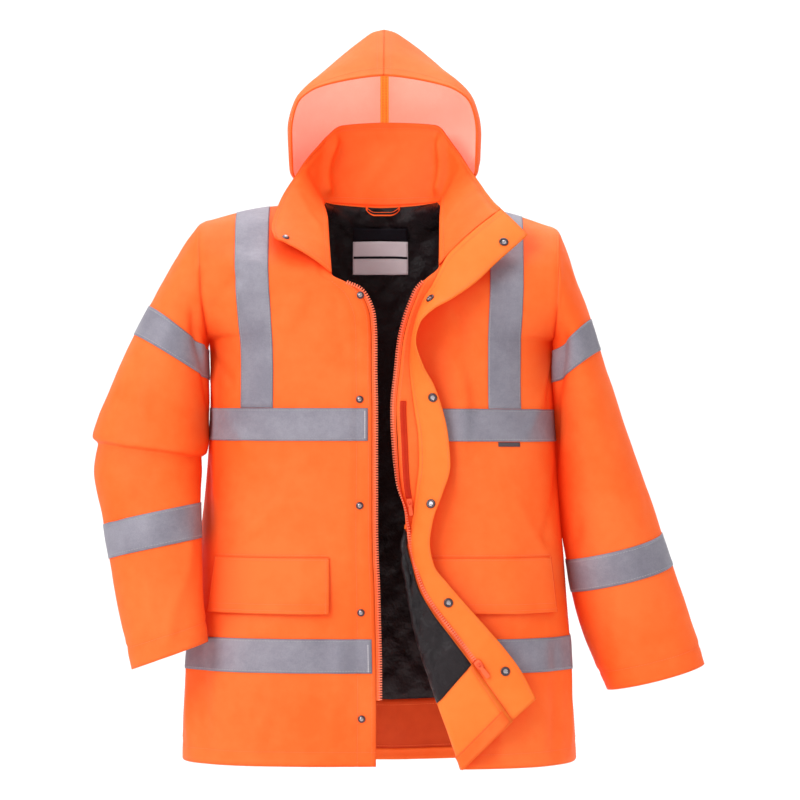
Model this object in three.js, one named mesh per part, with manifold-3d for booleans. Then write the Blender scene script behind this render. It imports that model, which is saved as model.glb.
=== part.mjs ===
// Hi-vis work jacket, padded and hooded, filled out as if worn, with its front open.
// Millimetres, +Z up. The front faces -Y and the wearer's right side is at -X.
// The origin is inside the back neck, where the wearer's neck and shoulders hold the jacket up.
//
// Every piece of cloth is a sheet: a grid of points on the cloth's middle surface, given a wall by moving
// each point out and in along its normal. Tape, lining and flaps use the points of the panel they lie on.
import * as THREE from "three";
import Module from "manifold-3d";

// Driving sizes
const SHELL = 2.0; // wall of the outer cloth
const LINING = 3.0; // wall of the quilted lining
const TAPE = 0.9; // wall of the reflective tape
const SEAM_GAP = 0.4; // between pieces that meet at a seam
const LAYER_GAP = 0.3; // between layers that lie on each other
const UNDER_ARM_GAP = 2.2;
const LINING_DRAW = 1; // the lining ends below the shoulder seam
const COLLAR_WALL = 2.6;
const FACING = 0.8;
const FLAP_WALL = 1.6;
const LABEL_WALL = 0.6;
const LABEL_GAP = 1.2;
const ZIP_WIDTH = 7.5; // tape and teeth that stand out of the front edge
const ZIP_WALL = 1.4;
const FLAP_LIFT = 5.0; // how far a pocket flap's free edge stands off the panel
const STUD_RADIUS = 5.2;
const SOCKET_RADIUS = 6.6;
const BRACE_IN = 165; // inner and outer edge of a brace tape, from the middle of the jacket
const BRACE_OUT = 215;
const TIP_X = 268; // half the width between the shoulder tips
const SHOULDER_RISE = 9; // how far the shoulder seam bows up between neck and tip
const FACING_ROW = 2; // the lining stops at this row, and the hem facing runs below it
const HEM_TAPE_ROWS = [3, 4];
const POCKET_ROWS = [5, 7];
const ROLL_ROW = 8; // the left front edge starts to turn back below this row
const CHEST_TAPE_ROWS = [10, 11];
const ARMPIT_ROW = 13;
const NECK_ROW = 17; // the front edge meets the collar here
const TOP_ROW = 20; // shoulder seam

// Colours
const ORANGE = 0xff6a1f;
const FLAP_ORANGE = 0xff8f33;
const TAPE_GREY = 0xa6a3b0;
const BLACK = 0x1a161a;
const METAL = 0x6b5f66;
const LACQUER = 0xff7042;
const LABEL_GREY = 0xb9b4b8;

// A table is a line of column names and a row of numbers for each section.
const table = (names, rows) =>
  rows.map((row) => Object.fromEntries(names.split(" ").map((name, i) => [name, row[i]])));

// The body's rows, from the hem to the shoulder seam. sideZ is the height at the side seam, then at the armhole;
// right and left are the half widths there; armhole is how far its edge lies before or behind the side;
// front is the depth at the front edge, back and backZ are the depth and height at the middle of the back;
// sidePower and sideRound shape the way from the flat middle to the side.
const BODY = table("sideZ right left armhole front back backZ sidePower sideRound", [
  [-833, 296, 294, 0, 128, 118, -850, 3.2, 0.45],
  [-775, 295, 291, 0, 128, 118, -800, 3.2, 0.45],
  [-735, 293, 288, 0, 128, 119, -757, 3.2, 0.45],
  [-695, 291, 286, 0, 128, 119, -713, 3.2, 0.45],
  [-645, 288, 284, 0, 127, 119, -660, 3.2, 0.45],
  [-608, 284, 281, 0, 127, 118, -620, 3.2, 0.45],
  [-567, 279, 278, 0, 126, 118, -576, 3.2, 0.45],
  [-526, 274, 275, 0, 126, 117, -532, 3.2, 0.45],
  [-470, 266, 270, 0, 125, 117, -474, 3.2, 0.45],
  [-412, 260, 266, 0, 124, 118, -414, 3.2, 0.45],
  [-354, 256, 263, 0, 123, 119, -354, 3.2, 0.45],
  [-306, 254, 260, 0, 122, 120, -306, 3.2, 0.46],
  [-252, 254, 259, 0, 121, 121, -252, 3.1, 0.48],
  [-205, 256, 259, 0, 120, 122, -205, 3.0, 0.52],
  [-196, 258, 260, 41, 120, 123, -180, 2.9, 0.7],
  [-171, 261, 262, 73, 119, 124, -155, 2.7, 0.85],
  [-135, 264, 264, 90, 116, 124, -128, 2.5, 1.0],
  [-96, 266, 265, 89, 112, 122, -101, 2.2, 1.0],
  [-61, 268, 266, 72, 72, 115, -48, 1.6, 1.0],
  [-36, 269, 267, 40, 28, 104, -22, 0.9, 1.0],
  [-27, 269, 267, 0, -12, 90, 3, 0.9, 1.0],
]);
const LEFT_DROP = table("row drop", [[0, 0], [13, 3], [20, 10]]); // the left shoulder hangs lower

// The right front edge from the hem to the front neck point: how far it is from the middle, and its height.
const RIGHT_EDGE = table("x z", [
  [-5, -832], [-5, -775], [-5, -735], [-5, -695], [-6, -645], [-7, -608], [-8, -567], [-10, -526],
  [-11, -470], [-11, -412], [-11, -354], [-11, -306], [-12, -252], [-12, -207], [-14, -172], [-28, -137],
  [-49, -121],
]);

// The left front edge. Below ROLL_ROW the cloth turns outward round a roll at x, z, and its front edge then
// lies at edgeX, edgeZ, before the panel.
const LEFT_EDGE = table("x z edgeX edgeZ roll", [
  [121, -836, 195, -763, 9], [101, -780, 161, -715, 9], [86, -737, 136, -679, 9], [72, -695, 107, -641, 9],
  [56, -645, 76, -600, 8], [47, -608, 60, -572, 7], [41, -567, 50, -540, 6], [34, -526, 42, -505, 5],
  [38, -470, 38, -470, 0], [30, -412, 30, -412, 0], [27, -354, 27, -354, 0], [25, -306, 25, -306, 0],
  [30, -252, 30, -252, 0], [35, -207, 35, -207, 0], [43, -174, 43, -174, 0], [53, -147, 53, -147, 0],
  [66, -119, 66, -119, 0],
]);

// The neck seam from the right front, round the back, to the left front, and the collar's top edge above it.
const NECK = table("x y z topX topY topZ", [
  [-71, -112, -108, -155, -100, -54],
  [-75, -72, -66, -161, -66, -36],
  [-79, -28, -22, -150, -24, 4],
  [-86, 12, 2, -128, 16, 46],
  [-85, 50, 7, -98, 54, 90],
  [-60, 80, 6, -58, 86, 128],
  [3, 90, 3, 14, 96, 133],
  [65, 80, 6, 84, 90, 129],
  [89, 50, 7, 112, 58, 95],
  [92, 12, 2, 138, 25, 54],
  [90, -28, -24, 160, -14, 18],
  [89, -66, -62, 172, -46, 0],
  [88, -102, -96, 180, -74, -10],
]);
const BACK_NECK = [3, 9]; // the rows of NECK on the back panel

// Sleeve rings from the armhole to the cuff. out and in are the ring's outer and inner point, depth is half its
// depth, y is its middle, and bend is how the ring dips on the way from out to in (1 is straight).
const RING = "outX outZ inX inZ depth y bend";
const RIGHT_SLEEVE = table(RING, [
  [288, -52, 266, -210, 90, -2, 1.0],
  [312, -92, 270, -214, 86, -5, 1.1],
  [345, -154, 271, -220, 80, -10, 1.3],
  [367, -197, 268, -264, 78, -14, 1.2],
  [398, -262, 266, -310, 77, -20, 1.1],
  [421, -318, 262, -348, 77, -27, 1.1],
  [429, -348, 263, -372, 79, -32, 1.0],
  [421, -360, 271, -380, 70, -34, 1.0],
  [425, -398, 270, -406, 73, -40, 1.0],
  [409, -479, 267, -446, 66, -64, 0.8],
  [399, -529, 265, -498, 62, -78, 0.8],
  [384, -610, 261, -575, 55, -94, 0.9],
  [365, -691, 253, -650, 48, -104, 0.9],
]);
const LEFT_SLEEVE = table(RING, [
  [281, -72, 269, -214, 88, 0, 1.0],
  [297, -120, 274, -218, 84, 0, 1.1],
  [316, -173, 275, -224, 79, 0, 1.3],
  [331, -219, 275, -270, 77, 0, 1.2],
  [352, -280, 276, -332, 76, 0, 1.1],
  [376, -350, 277, -400, 75, 2, 1.0],
  [399, -415, 280, -462, 73, 4, 0.8],
  [424, -494, 286, -534, 70, 4, 0.7],
  [440, -542, 291, -583, 69, 4, 0.7],
  [462, -612, 309, -652, 66, 2, 0.8],
  [487, -692, 343, -730, 62, 0, 0.9],
]);
const SLEEVE_TAPES = { right: [[3, 4], [10, 11]], left: [[3, 4], [8, 9]] }; // ring numbers, with the armhole as 0

// Hood sections from the front rim to the back seam, each from the neck to the crown. wide is the distance from
// the hood's middle plane.
const HOOD_MIDDLE = 6;
const HOOD = table("place wide0 y0 z0 wide1 y1 z1 wide2 y2 z2 wide3 y3 z3 wide4 y4 z4 wide5 y5 z5 wide6 y6 z6", [
  [0.0, 106, 30, 12, 139, 25, 54, 140, 4, 110, 131, -3, 153, 106, -9, 174, 56, -12, 186, 0, -14, 193],
  [0.33, 101, 54, 14, 143, 46, 56, 146, 42, 114, 136, 40, 160, 108, 36, 190, 56, 34, 214, 0, 32, 232],
  [0.68, 74, 92, 12, 134, 102, 58, 145, 104, 118, 137, 104, 156, 110, 104, 192, 58, 104, 232, 0, 96, 266],
  [1.0, 0, 104, 10, 0, 140, 50, 0, 172, 96, 0, 186, 146, 0, 178, 196, 0, 150, 240, 0, 110, 272],
]);

// The storm flap from the top of the collar to the hem: where it is sewn on, and its free edge. What it is sewn
// to gives the depth of its sewn edge: the end of the collar, the front's outer face, or the turned strip's.
const STORM_FLAP = [
  ["collar", table("share freeX freeY freeZ", [
    [1.0, 219, -98, -50],
    [0.55, 172, -128, -92],
    [0.14, 138, -146, -124],
  ])],
  ["front", table("x z lift freeX freeY freeZ", [
    [78, -126, 4.2, 106, -158, -146],
    [64, -148, 0.6, 80, -166, -160],
    [54, -174, 0.6, 58, -172, -182],
    [47, -207, 0.6, 52, -168, -208],
    [45, -240, 0.6, 64, -158, -244],
    [48, -276, 0.6, 80, -148, -272],
    [52, -310, 0.6, 92, -142, -306],
    [57, -348, 0.6, 101, -139, -348],
    [58, -385, 0.6, 104, -140, -390],
    [54, -424, 0.6, 92, -144, -432],
    [50, -460, 0.6, 79, -148, -468],
  ])],
  ["turned", table("x z freeX freeY freeZ", [
    [41, -509, 74, -147, -503],
    [48.4, -544.5, 80, -147, -535],
    [58.3, -576.7, 99, -147, -561],
    [74, -604.6, 124, -147, -590],
    [104.3, -645.2, 155, -147, -625],
    [132.7, -682.8, 185, -147, -660],
    [157.6, -718.7, 207, -147, -690],
    [190, -766, 229, -147, -731],
  ])],
];

// Press studs on the right front, and their sockets on the storm flap.
const STUDS = table("x z", [[-28, -140], [-29, -293], [-29, -449], [-27, -606], [-26, -762]]);
const COLLAR_STUD = { x: -139, z: -55 };
const SOCKETS = table("x z lift", [
  [183, -62, 0.3], [76, -147, 2.2], [79, -290, 0.6], [76, -446, 0.5], [101, -590, 0.3], [184, -690, 0.3],
]);

// The hanging loop, a narrow band that stands a little off the lining below the neck seam.
const LOOP_WIDTH = 6;
const LOOP = table("x y z", [[-20, 83.4, -8], [-17, 80, -10], [-6, 75, -11], [14, 75, -11], [25, 80, -10], [28, 83.4, -8]]);

const mix = (a, b, t) => a + (b - a) * t;

// One column of a table at a place between its rows, on a curve that never swings past them.
function along(rows, column, at, key = null) {
  const place = rows.map((row, i) => (key ? row[key] : i));
  const value = rows.map((row) => row[column]);
  const last = rows.length - 1;
  const slope = value.slice(1).map((v, i) => (v - value[i]) / (place[i + 1] - place[i]));
  const tangent = value.map((_, i) => {
    if (i === 0) return slope[0];
    if (i === last) return slope[last - 1];
    const [before, after] = [slope[i - 1], slope[i]];
    return before * after <= 0 ? 0 : (2 * before * after) / (before + after);
  });
  let i = 0;
  while (i < last - 1 && at > place[i + 1]) i++;
  const step = place[i + 1] - place[i];
  const t = Math.min(1, Math.max(0, (at - place[i]) / step));
  const rise = t * t * (3 - 2 * t);
  const lead = t * (1 - t) * (1 - t) * step * tangent[i];
  const tail = t * t * (1 - t) * step * tangent[i + 1];
  return mix(value[i], value[i + 1], rise) + lead - tail;
}

// A sheet of cloth: points on its middle surface, faces between them, and a normal at each point.
class Sheet {
  constructor() {
    this.points = [];
    this.faces = [];
    this.known = new Map();
    this.normals = [];
  }
  // Points at the same place are one point, so seams and corners close.
  add(point) {
    const key = point.toArray().map((v) => Math.round(v * 20)).join();
    if (!this.known.has(key)) {
      this.known.set(key, this.points.length);
      this.points.push(point.clone());
    }
    return this.known.get(key);
  }
  // A grid of rows of points, with its faces turned so that they look along the cross product of row and column.
  grid(rows, closed = false) {
    const ids = rows.map((row) => row.map((point) => this.add(point)));
    this.connect(ids, closed);
    return ids;
  }
  connect(ids, closed) {
    for (let r = 0; r + 1 < ids.length; r++) {
      const columns = ids[r].length - (closed ? 0 : 1);
      for (let c = 0; c < columns; c++) this.cell(ids, r, c);
    }
  }
  cell(ids, r, c) {
    const next = (c + 1) % ids[r].length;
    this.face(ids[r][c], ids[r][next], ids[r + 1][next]);
    this.face(ids[r][c], ids[r + 1][next], ids[r + 1][c]);
  }
  face(a, b, c) {
    if (a !== b && b !== c && a !== c) this.faces.push([a, b, c]);
  }
  findNormals() {
    this.normals = this.points.map(() => new THREE.Vector3());
    for (const face of this.faces) {
      const [a, b, c] = face.map((i) => this.points[i]);
      const normal = b.clone().sub(a).cross(c.clone().sub(a));
      face.forEach((i) => this.normals[i].add(normal));
    }
    this.normals.forEach((normal) => normal.normalize());
    return this;
  }
}

// A point on a panel's grid and the normal there. Rows and columns may be fractions.
function spot({ sheet, ids }, row, column) {
  const r = Math.min(Math.floor(row), ids.length - 2);
  const c = Math.min(Math.floor(column), ids[r].length - 2);
  const blend = (list) => {
    const low = list[ids[r][c]].clone().lerp(list[ids[r][c + 1]], column - c);
    const high = list[ids[r + 1][c]].clone().lerp(list[ids[r + 1][c + 1]], column - c);
    return low.lerp(high, row - r);
  };
  return { point: blend(sheet.points), normal: blend(sheet.normals).normalize() };
}

// What lies on a panel: a sheet of the panel's own points, at the rows and columns listed.
function overlay(panel, rows, columns, { closed = false, onto = new Sheet() } = {}) {
  const ids = rows.map((row) =>
    columns.map((column) => {
      const { point, normal } = spot(panel, row, column);
      const id = onto.add(point);
      onto.normals[id] = normal;
      return id;
    }),
  );
  onto.connect(ids, closed);
  return onto;
}

// Numbers from one to another with the whole numbers between them.
function spread(from, to) {
  const whole = [];
  for (let i = Math.floor(from) + 1; i < to; i++) whole.push(i);
  return [from, ...whole, to];
}

// The closed wall between two distances along the sheet's normals. The distances may differ from point to point.
function wall(sheet, from, to) {
  const { faces } = sheet;
  const used = [...new Set(faces.flat())];
  const place = new Map(used.map((id, i) => [id, i]));
  const at = (distance, id) => (typeof distance === "function" ? distance(id) : distance);
  const layer = (distance) =>
    used.flatMap((id) =>
      sheet.points[id].clone().addScaledVector(sheet.normals[id], at(distance, id)).toArray(),
    );
  const index = [];
  const edges = new Map();
  const below = used.length;
  for (const face of faces) {
    const [a, b, c] = face.map((id) => place.get(id));
    index.push(a, b, c, a + below, c + below, b + below);
    for (const [p, q] of [[a, b], [b, c], [c, a]])
      if (!edges.delete(`${q},${p}`)) edges.set(`${p},${q}`, [p, q]);
  }
  for (const [p, q] of edges.values()) index.push(q, p, p + below, q, p + below, q + below);
  const geometry = new THREE.BufferGeometry();
  const position = [...layer(to), ...layer(from)];
  geometry.setAttribute("position", new THREE.Float32BufferAttribute(position, 3));
  geometry.setIndex(index);
  return geometry;
}

// Seams: normals of points that meet are shared, so both rims lie in one plane, then each sheet draws back a little.
function shareNormals(sheets) {
  const meeting = new Map();
  for (const sheet of sheets)
    sheet.points.forEach((point, i) => {
      const key = point.toArray().map((v) => Math.round(v * 5)).join();
      meeting.set(key, [...(meeting.get(key) ?? []), sheet.normals[i]]);
    });
  for (const normals of meeting.values()) {
    const shared = normals.reduce((sum, n) => sum.add(n), new THREE.Vector3()).normalize();
    normals.forEach((normal) => normal.copy(shared));
  }
}
function drawBack(sheet, pairs, distance = SEAM_GAP / 2) {
  const moves = pairs.map(([edge, inside]) => {
    const way = sheet.points[inside].clone().sub(sheet.points[edge]);
    return [edge, way.setLength(distance)];
  });
  moves.forEach(([edge, way]) => sheet.points[edge].add(way));
}

// Columns of a body panel: its inner edge to the brace, the brace, and the brace to the side. Each entry is the
// stretch and how far along it the column lies; the last stretch is spaced like a quarter circle.
const stretch = (name, count) => Array.from({ length: count }, (_, i) => [name, (i + 1) / count]);
const FRONT_COLUMNS = [["inner", 0], ...stretch("inner", 4), ...stretch("brace", 2), ...stretch("side", 5)];
const BRACE_COLUMNS = [4, 6];
const BACK_BRACES = { left: [5, 7], right: [17, 19] };
const POCKET_COLUMNS = { right: [1.6, 7.4], left: [1, 8] };

function columnX([name, t], inner, edge) {
  const scale = edge / TIP_X;
  if (name === "inner") return mix(inner, BRACE_IN * scale, t);
  if (name === "brace") return mix(BRACE_IN, BRACE_OUT, t) * scale;
  return mix(BRACE_OUT * scale, edge, Math.sin((t * Math.PI) / 2));
}

// Gentle folds of the cloth, as depth added to the body: soft upright waves that fade towards the shoulders.
const FOLDS = table("x width depth z0 z1", [
  [-205, 26, 4, -840, -640],
  [-120, 34, 3, -840, -420],
  [-52, 22, 2.5, -600, -180],
  [104, 24, 3.5, -420, -150],
  [196, 26, 4, -700, -420],
  [236, 20, 3, -840, -650],
]);
const BACK_FOLDS = table("x width depth z0 z1", [
  [-150, 30, 5, -850, -380],
  [-40, 34, 4, -850, -480],
  [84, 30, 5, -850, -420],
  [190, 26, 4, -850, -560],
]);
function foldDepth(folds, x, z) {
  const hump = (t) => (Math.abs(t) < 1 ? (1 + Math.cos(Math.PI * t)) / 2 : 0);
  return folds.reduce((sum, fold) => {
    const middle = (fold.z0 + fold.z1) / 2;
    const reach = (fold.z1 - fold.z0) / 2;
    return sum + fold.depth * hump((x - fold.x) / fold.width / 1.6) * hump((z - middle) / reach / 1.2);
  }, 0);
}

const leftDrop = (row) => along(LEFT_DROP, "drop", row, "row");
const sideOf = (side, row) => ({
  x: side * BODY[row][side < 0 ? "right" : "left"],
  z: BODY[row].sideZ - (side > 0 ? leftDrop(row) : 0),
});

// One row of a front panel. Depth falls from the front edge to the side by (1 - w^power)^round.
function frontRow(side, row) {
  const body = BODY[row];
  const edge = sideOf(side, row);
  const inner = frontEdge(side, row);
  const points = FRONT_COLUMNS.map((column) => {
    const x = side * columnX(column, Math.abs(inner.x), Math.abs(edge.x));
    const w = Math.abs((x - inner.x) / (edge.x - inner.x));
    const round = Math.pow(1 - Math.pow(w, body.sidePower), body.sideRound);
    const y = mix(-body.armhole, inner.y, round);
    const z = mix(inner.z, edge.z, w) + shoulderRise(row, w);
    const fold = w > 0 && w < 1 ? foldDepth(FOLDS, x, z) : 0;
    return new THREE.Vector3(x, y - fold, z);
  });
  // The back has half as many columns between neck and brace, so the seam is straight between those.
  if (row === TOP_ROW) [1, 3].forEach((c) => points[c].lerpVectors(points[c - 1], points[c + 1], 0.5));
  return points;
}
function frontEdge(side, row) {
  if (row >= NECK_ROW) {
    const neck = NECK[side < 0 ? row - NECK_ROW : NECK.length - 1 - (row - NECK_ROW)];
    return new THREE.Vector3(neck.x, neck.y, neck.z);
  }
  const edge = side < 0 ? RIGHT_EDGE[row] : LEFT_EDGE[row];
  const roll = side < 0 ? 0 : LEFT_EDGE[row].roll;
  return new THREE.Vector3(edge.x + roll, -BODY[row].front, edge.z);
}
const shoulderRise = (row, w) =>
  SHOULDER_RISE * Math.sin(Math.PI * w) * Math.max(0, 1 - (TOP_ROW - row) / 2);

// The turned back strip of the left front: a half circle of the roll's radius, then straight to the front edge.
const ROLL_STEPS = 4;
const TURNED_STEPS = 3;
function turnedRow(row) {
  const { x, z, edgeX, edgeZ, roll } = LEFT_EDGE[row];
  const way = new THREE.Vector3(edgeX - x, 0, edgeZ - z);
  const reach = way.length();
  way.setLength(1);
  const depth = -BODY[row].front;
  const points = [];
  for (let i = 0; i <= ROLL_STEPS; i++) {
    const angle = Math.PI * (i / ROLL_STEPS - 0.5);
    const out = roll * (1 - Math.cos(angle));
    const base = new THREE.Vector3(x, depth - roll * (1 + Math.sin(angle)), z);
    const heading = angle < 0 ? new THREE.Vector3(1, 0, 0) : way;
    points.push(base.addScaledVector(heading, out));
  }
  for (let i = 1; i <= TURNED_STEPS; i++) {
    const distance = mix(roll, reach, i / TURNED_STEPS);
    const lift = 2 * roll + (4 * i) / TURNED_STEPS;
    points.push(new THREE.Vector3(x, depth - lift * Math.min(1, reach / 40), z).addScaledVector(way, distance));
  }
  return row === ROLL_ROW ? points.map(() => frontEdge(1, row)) : points;
}

// One row of the back panel, from the right side, through the neck columns, to the left side.
const NECK_X = [-86, -64, -43, 0, 43, 64, 86];
function backRow(row) {
  const body = BODY[row];
  const half = (side) =>
    [...stretch("inner", 2), ...stretch("brace", 2), ...stretch("side", 5)].map((column) => {
      const neckX = row === TOP_ROW ? NECK[BACK_NECK[side < 0 ? 0 : 1]].x : NECK_X[0];
      return { side, x: side * columnX(column, Math.abs(neckX), Math.abs(sideOf(side, row).x)) };
    });
  const middle = NECK_X.map((x, i) => ({ side: Math.sign(x) || 1, x, neck: BACK_NECK[0] + i }));
  return [...half(-1).reverse(), ...middle, ...half(1)].map(({ side, x, neck }) => {
    const edge = sideOf(side, row);
    if (neck && row === TOP_ROW) return new THREE.Vector3(NECK[neck].x, NECK[neck].y, NECK[neck].z);
    if (row === TOP_ROW) return frontTop(side, x);
    const w = Math.abs(x / edge.x);
    const round = Math.pow(1 - Math.pow(w, body.sidePower), body.sideRound);
    const y = mix(body.armhole * 0.96, body.back, round);
    const z = mix(body.backZ, edge.z, w * w) + shoulderRise(row, w);
    const fold = w < 1 ? foldDepth(BACK_FOLDS, x, z) : 0;
    return new THREE.Vector3(x, y + fold, z);
  });
}
// The shoulder seam, which the back takes from the front: the front's own columns lie at other places there.
function frontTop(side, x) {
  const edge = sideOf(side, TOP_ROW);
  const inner = frontEdge(side, TOP_ROW);
  const w = (x - inner.x) / (edge.x - inner.x);
  const round = Math.pow(1 - Math.pow(Math.min(1, w), BODY[TOP_ROW].sidePower), 1);
  const z = mix(inner.z, edge.z, w) + shoulderRise(TOP_ROW, w);
  return new THREE.Vector3(x, mix(0, inner.y, round), z);
}

const ROWS = Array.from({ length: TOP_ROW + 1 }, (_, row) => row);
const LAST_FRONT = FRONT_COLUMNS.length - 1;

function makeFront(side) {
  const sheet = new Sheet();
  const rows = ROWS.map((row) => frontRow(side, row));
  // Faces look outwards on both sides, so the left front's columns run the other way.
  const ordered = side < 0 ? rows.map((row) => [...row].reverse()) : rows;
  const ids = sheet.grid(ordered);
  const at = (row, column) => ids[row][side < 0 ? LAST_FRONT - column : column];
  let turned = null;
  if (side > 0) {
    const strip = ROWS.slice(0, ROLL_ROW + 1).map((row) => turnedRow(row).reverse());
    turned = sheet.grid(strip);
  }
  sheet.findNormals();
  return { sheet, ids, at, side, turned };
}

function makeBack() {
  const sheet = new Sheet();
  const ids = sheet.grid(ROWS.map((row) => backRow(row).reverse()));
  sheet.findNormals();
  return { sheet, ids, width: ids[0].length - 1 };
}

// A sleeve: its first ring is the armhole itself, and the other rings blend from that ring's angles.
function makeSleeve(side, front, back, rings) {
  const edgeRows = ROWS.slice(ARMPIT_ROW);
  const frontEdgePoints = edgeRows.map((row) => front.sheet.points[front.at(row, LAST_FRONT)]);
  const backColumn = side < 0 ? back.width : 0;
  const backEdgePoints = edgeRows.map((row) => back.sheet.points[back.ids[row][backColumn]]);
  const loop = [...frontEdgePoints, ...backEdgePoints.slice(1, -1).reverse()];
  const steps = edgeRows.length - 1;
  const ringRows = rings.map((ring) =>
    loop.map((_, i) => {
      // The angle is 0 at the outer point, and is counted from the armpit, through the front, to the back.
      const angle = Math.PI * (1 - i / steps);
      const share = (1 - Math.cos(angle)) / 2;
      const x = side * mix(ring.outX, ring.inX, share);
      const z = mix(ring.outZ, ring.inZ, Math.pow(share, ring.bend));
      return new THREE.Vector3(x, ring.y - ring.depth * Math.sin(angle), z);
    }),
  );
  const rows = [loop.map((point) => point.clone()), ...ringRows];
  const sheet = new Sheet();
  const ids = sheet.grid(side < 0 ? rows : rows.map((row) => [...row].reverse()), true);
  sheet.findNormals();
  return { sheet, ids, rings: rows.length - 1 };
}

// The collar rises from the neck seam to its top edge and bellies out a little on the way.
const COLLAR_STEPS = 5;
function makeCollar(seamNormals) {
  const sheet = new Sheet();
  const lift = SHELL / 2 + LAYER_GAP + COLLAR_WALL / 2 + 0.3;
  const rows = Array.from({ length: COLLAR_STEPS + 1 }, (_, i) =>
    NECK.map((neck, c) => {
      const root = new THREE.Vector3(neck.x, neck.y, neck.z).addScaledVector(seamNormals[c], lift);
      const top = new THREE.Vector3(neck.topX, neck.topY, neck.topZ);
      const share = i / COLLAR_STEPS;
      const belly = 7 * Math.sin(Math.PI * share);
      return root.lerp(top, share).addScaledVector(seamNormals[c], belly);
    }),
  );
  const ids = sheet.grid(rows);
  sheet.findNormals();
  return { sheet, ids };
}

// The hood: sections from the front rim to the back seam, the same on both sides of the middle plane.
const HOOD_COLUMNS = 7;
const HOOD_ROWS = 9;
function makeHood() {
  const spot = (place, height) => {
    const section = [0, 1, 2, 3, 4, 5, 6].map((i) => ({
      wide: along(HOOD, `wide${i}`, place, "place"),
      y: along(HOOD, `y${i}`, place, "place"),
      z: along(HOOD, `z${i}`, place, "place"),
    }));
    const at = height * 6;
    return ["wide", "y", "z"].map((column) => along(section, column, at));
  };
  const rows = Array.from({ length: HOOD_ROWS + 1 }, (_, r) =>
    Array.from({ length: 2 * HOOD_COLUMNS + 1 }, (_, c) => {
      const across = c / HOOD_COLUMNS - 1;
      const place = Math.sin(((1 - Math.abs(across)) * Math.PI) / 2);
      const [wide, y, z] = spot(place, r / HOOD_ROWS);
      return new THREE.Vector3(HOOD_MIDDLE + Math.sign(across) * wide, y, z);
    }),
  );
  const sheet = new Sheet();
  const ids = sheet.grid(rows);
  sheet.findNormals();
  return { sheet, ids };
}

// Where a line along Y through x and z meets a sheet nearest the viewer, and the normal there that faces the viewer.
function seenAt(sheet, x, z) {
  let seen = null;
  for (const face of sheet.faces) {
    const [a, b, c] = face.map((i) => sheet.points[i]);
    const area = (b.x - a.x) * (c.z - a.z) - (c.x - a.x) * (b.z - a.z);
    if (Math.abs(area) < 1e-6) continue;
    const v = ((x - a.x) * (c.z - a.z) - (c.x - a.x) * (z - a.z)) / area;
    const w = ((b.x - a.x) * (z - a.z) - (x - a.x) * (b.z - a.z)) / area;
    if (v < -1e-6 || w < -1e-6 || v + w > 1 + 1e-6) continue;
    const y = a.y + v * (b.y - a.y) + w * (c.y - a.y);
    if (seen && y >= seen.point.y) continue;
    const normal = b.clone().sub(a).cross(c.clone().sub(a)).normalize();
    if (normal.y > 0) normal.negate();
    seen = { point: new THREE.Vector3(x, y, z), normal };
  }
  if (!seen) throw new Error(`no cloth at ${x}, ${z}`);
  return seen;
}

const FLAP_STEPS = 3;
function makeStormFlap(left, turned, collar) {
  const sewnTo = {
    collar: ({ share, freeX, freeY, freeZ }) => {
      const { point } = spot(collar, share * COLLAR_STEPS, NECK.length - 1);
      const way = new THREE.Vector3(freeX, freeY, freeZ).sub(point).setLength(2 * SEAM_GAP);
      return point.add(way);
    },
    front: ({ x, z, lift }) => {
      const { point, normal } = seenAt(left.sheet, x, z);
      return point.addScaledVector(normal, SHELL + lift);
    },
    turned: ({ x, z }) => {
      const { point, normal } = seenAt(turned, x, z);
      return point.addScaledVector(normal, -SHELL - 0.6);
    },
  };
  const rows = STORM_FLAP.flatMap(([place, list]) =>
    list.map((row) => {
      const free = new THREE.Vector3(row.freeX, row.freeY, row.freeZ);
      return spread(0, FLAP_STEPS).map((i) => sewnTo[place](row).lerp(free, i / FLAP_STEPS));
    }),
  );
  const sheet = new Sheet();
  const ids = sheet.grid(rows.reverse());
  sheet.findNormals();
  return { sheet, ids };
}

// A strip of a given width that stands out of an edge, in line with the cloth there.
function makeStrip(edges, width) {
  const sheet = new Sheet();
  sheet.grid(
    edges.map(({ edge, way }) => {
      const start = edge.clone().addScaledVector(way, SEAM_GAP);
      return [start.clone().addScaledVector(way, width), start];
    }),
  );
  return sheet.findNormals();
}

// A round part turned about the cloth's normal, on the face that is seen.
function makeRound(profile, { point, normal }, lift) {
  const geometry = new THREE.LatheGeometry(profile.map(([r, h]) => new THREE.Vector2(r, h)), 14);
  const turn = new THREE.Quaternion().setFromUnitVectors(new THREE.Vector3(0, 1, 0), normal);
  geometry.applyQuaternion(turn);
  const at = point.clone().addScaledVector(normal, lift);
  return geometry.translate(at.x, at.y, at.z);
}

const jacket = new THREE.Group();
const finish = (color, roughness = 0.75, metalness = 0) =>
  new THREE.MeshStandardMaterial({ color, roughness, metalness });
function addPiece(name, geometry, material) {
  const piece = new THREE.Mesh(geometry, material);
  piece.name = name;
  jacket.add(piece);
  return piece;
}

const cloth = finish(ORANGE);
const flapCloth = finish(FLAP_ORANGE);
const tape = finish(TAPE_GREY, 0.45);
const lining = finish(BLACK, 0.8);
const metal = finish(METAL, 0.35, 0.9);
const lacquer = finish(LACQUER, 0.4);
const label = finish(LABEL_GREY, 0.7);
const half = SHELL / 2;

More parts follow.
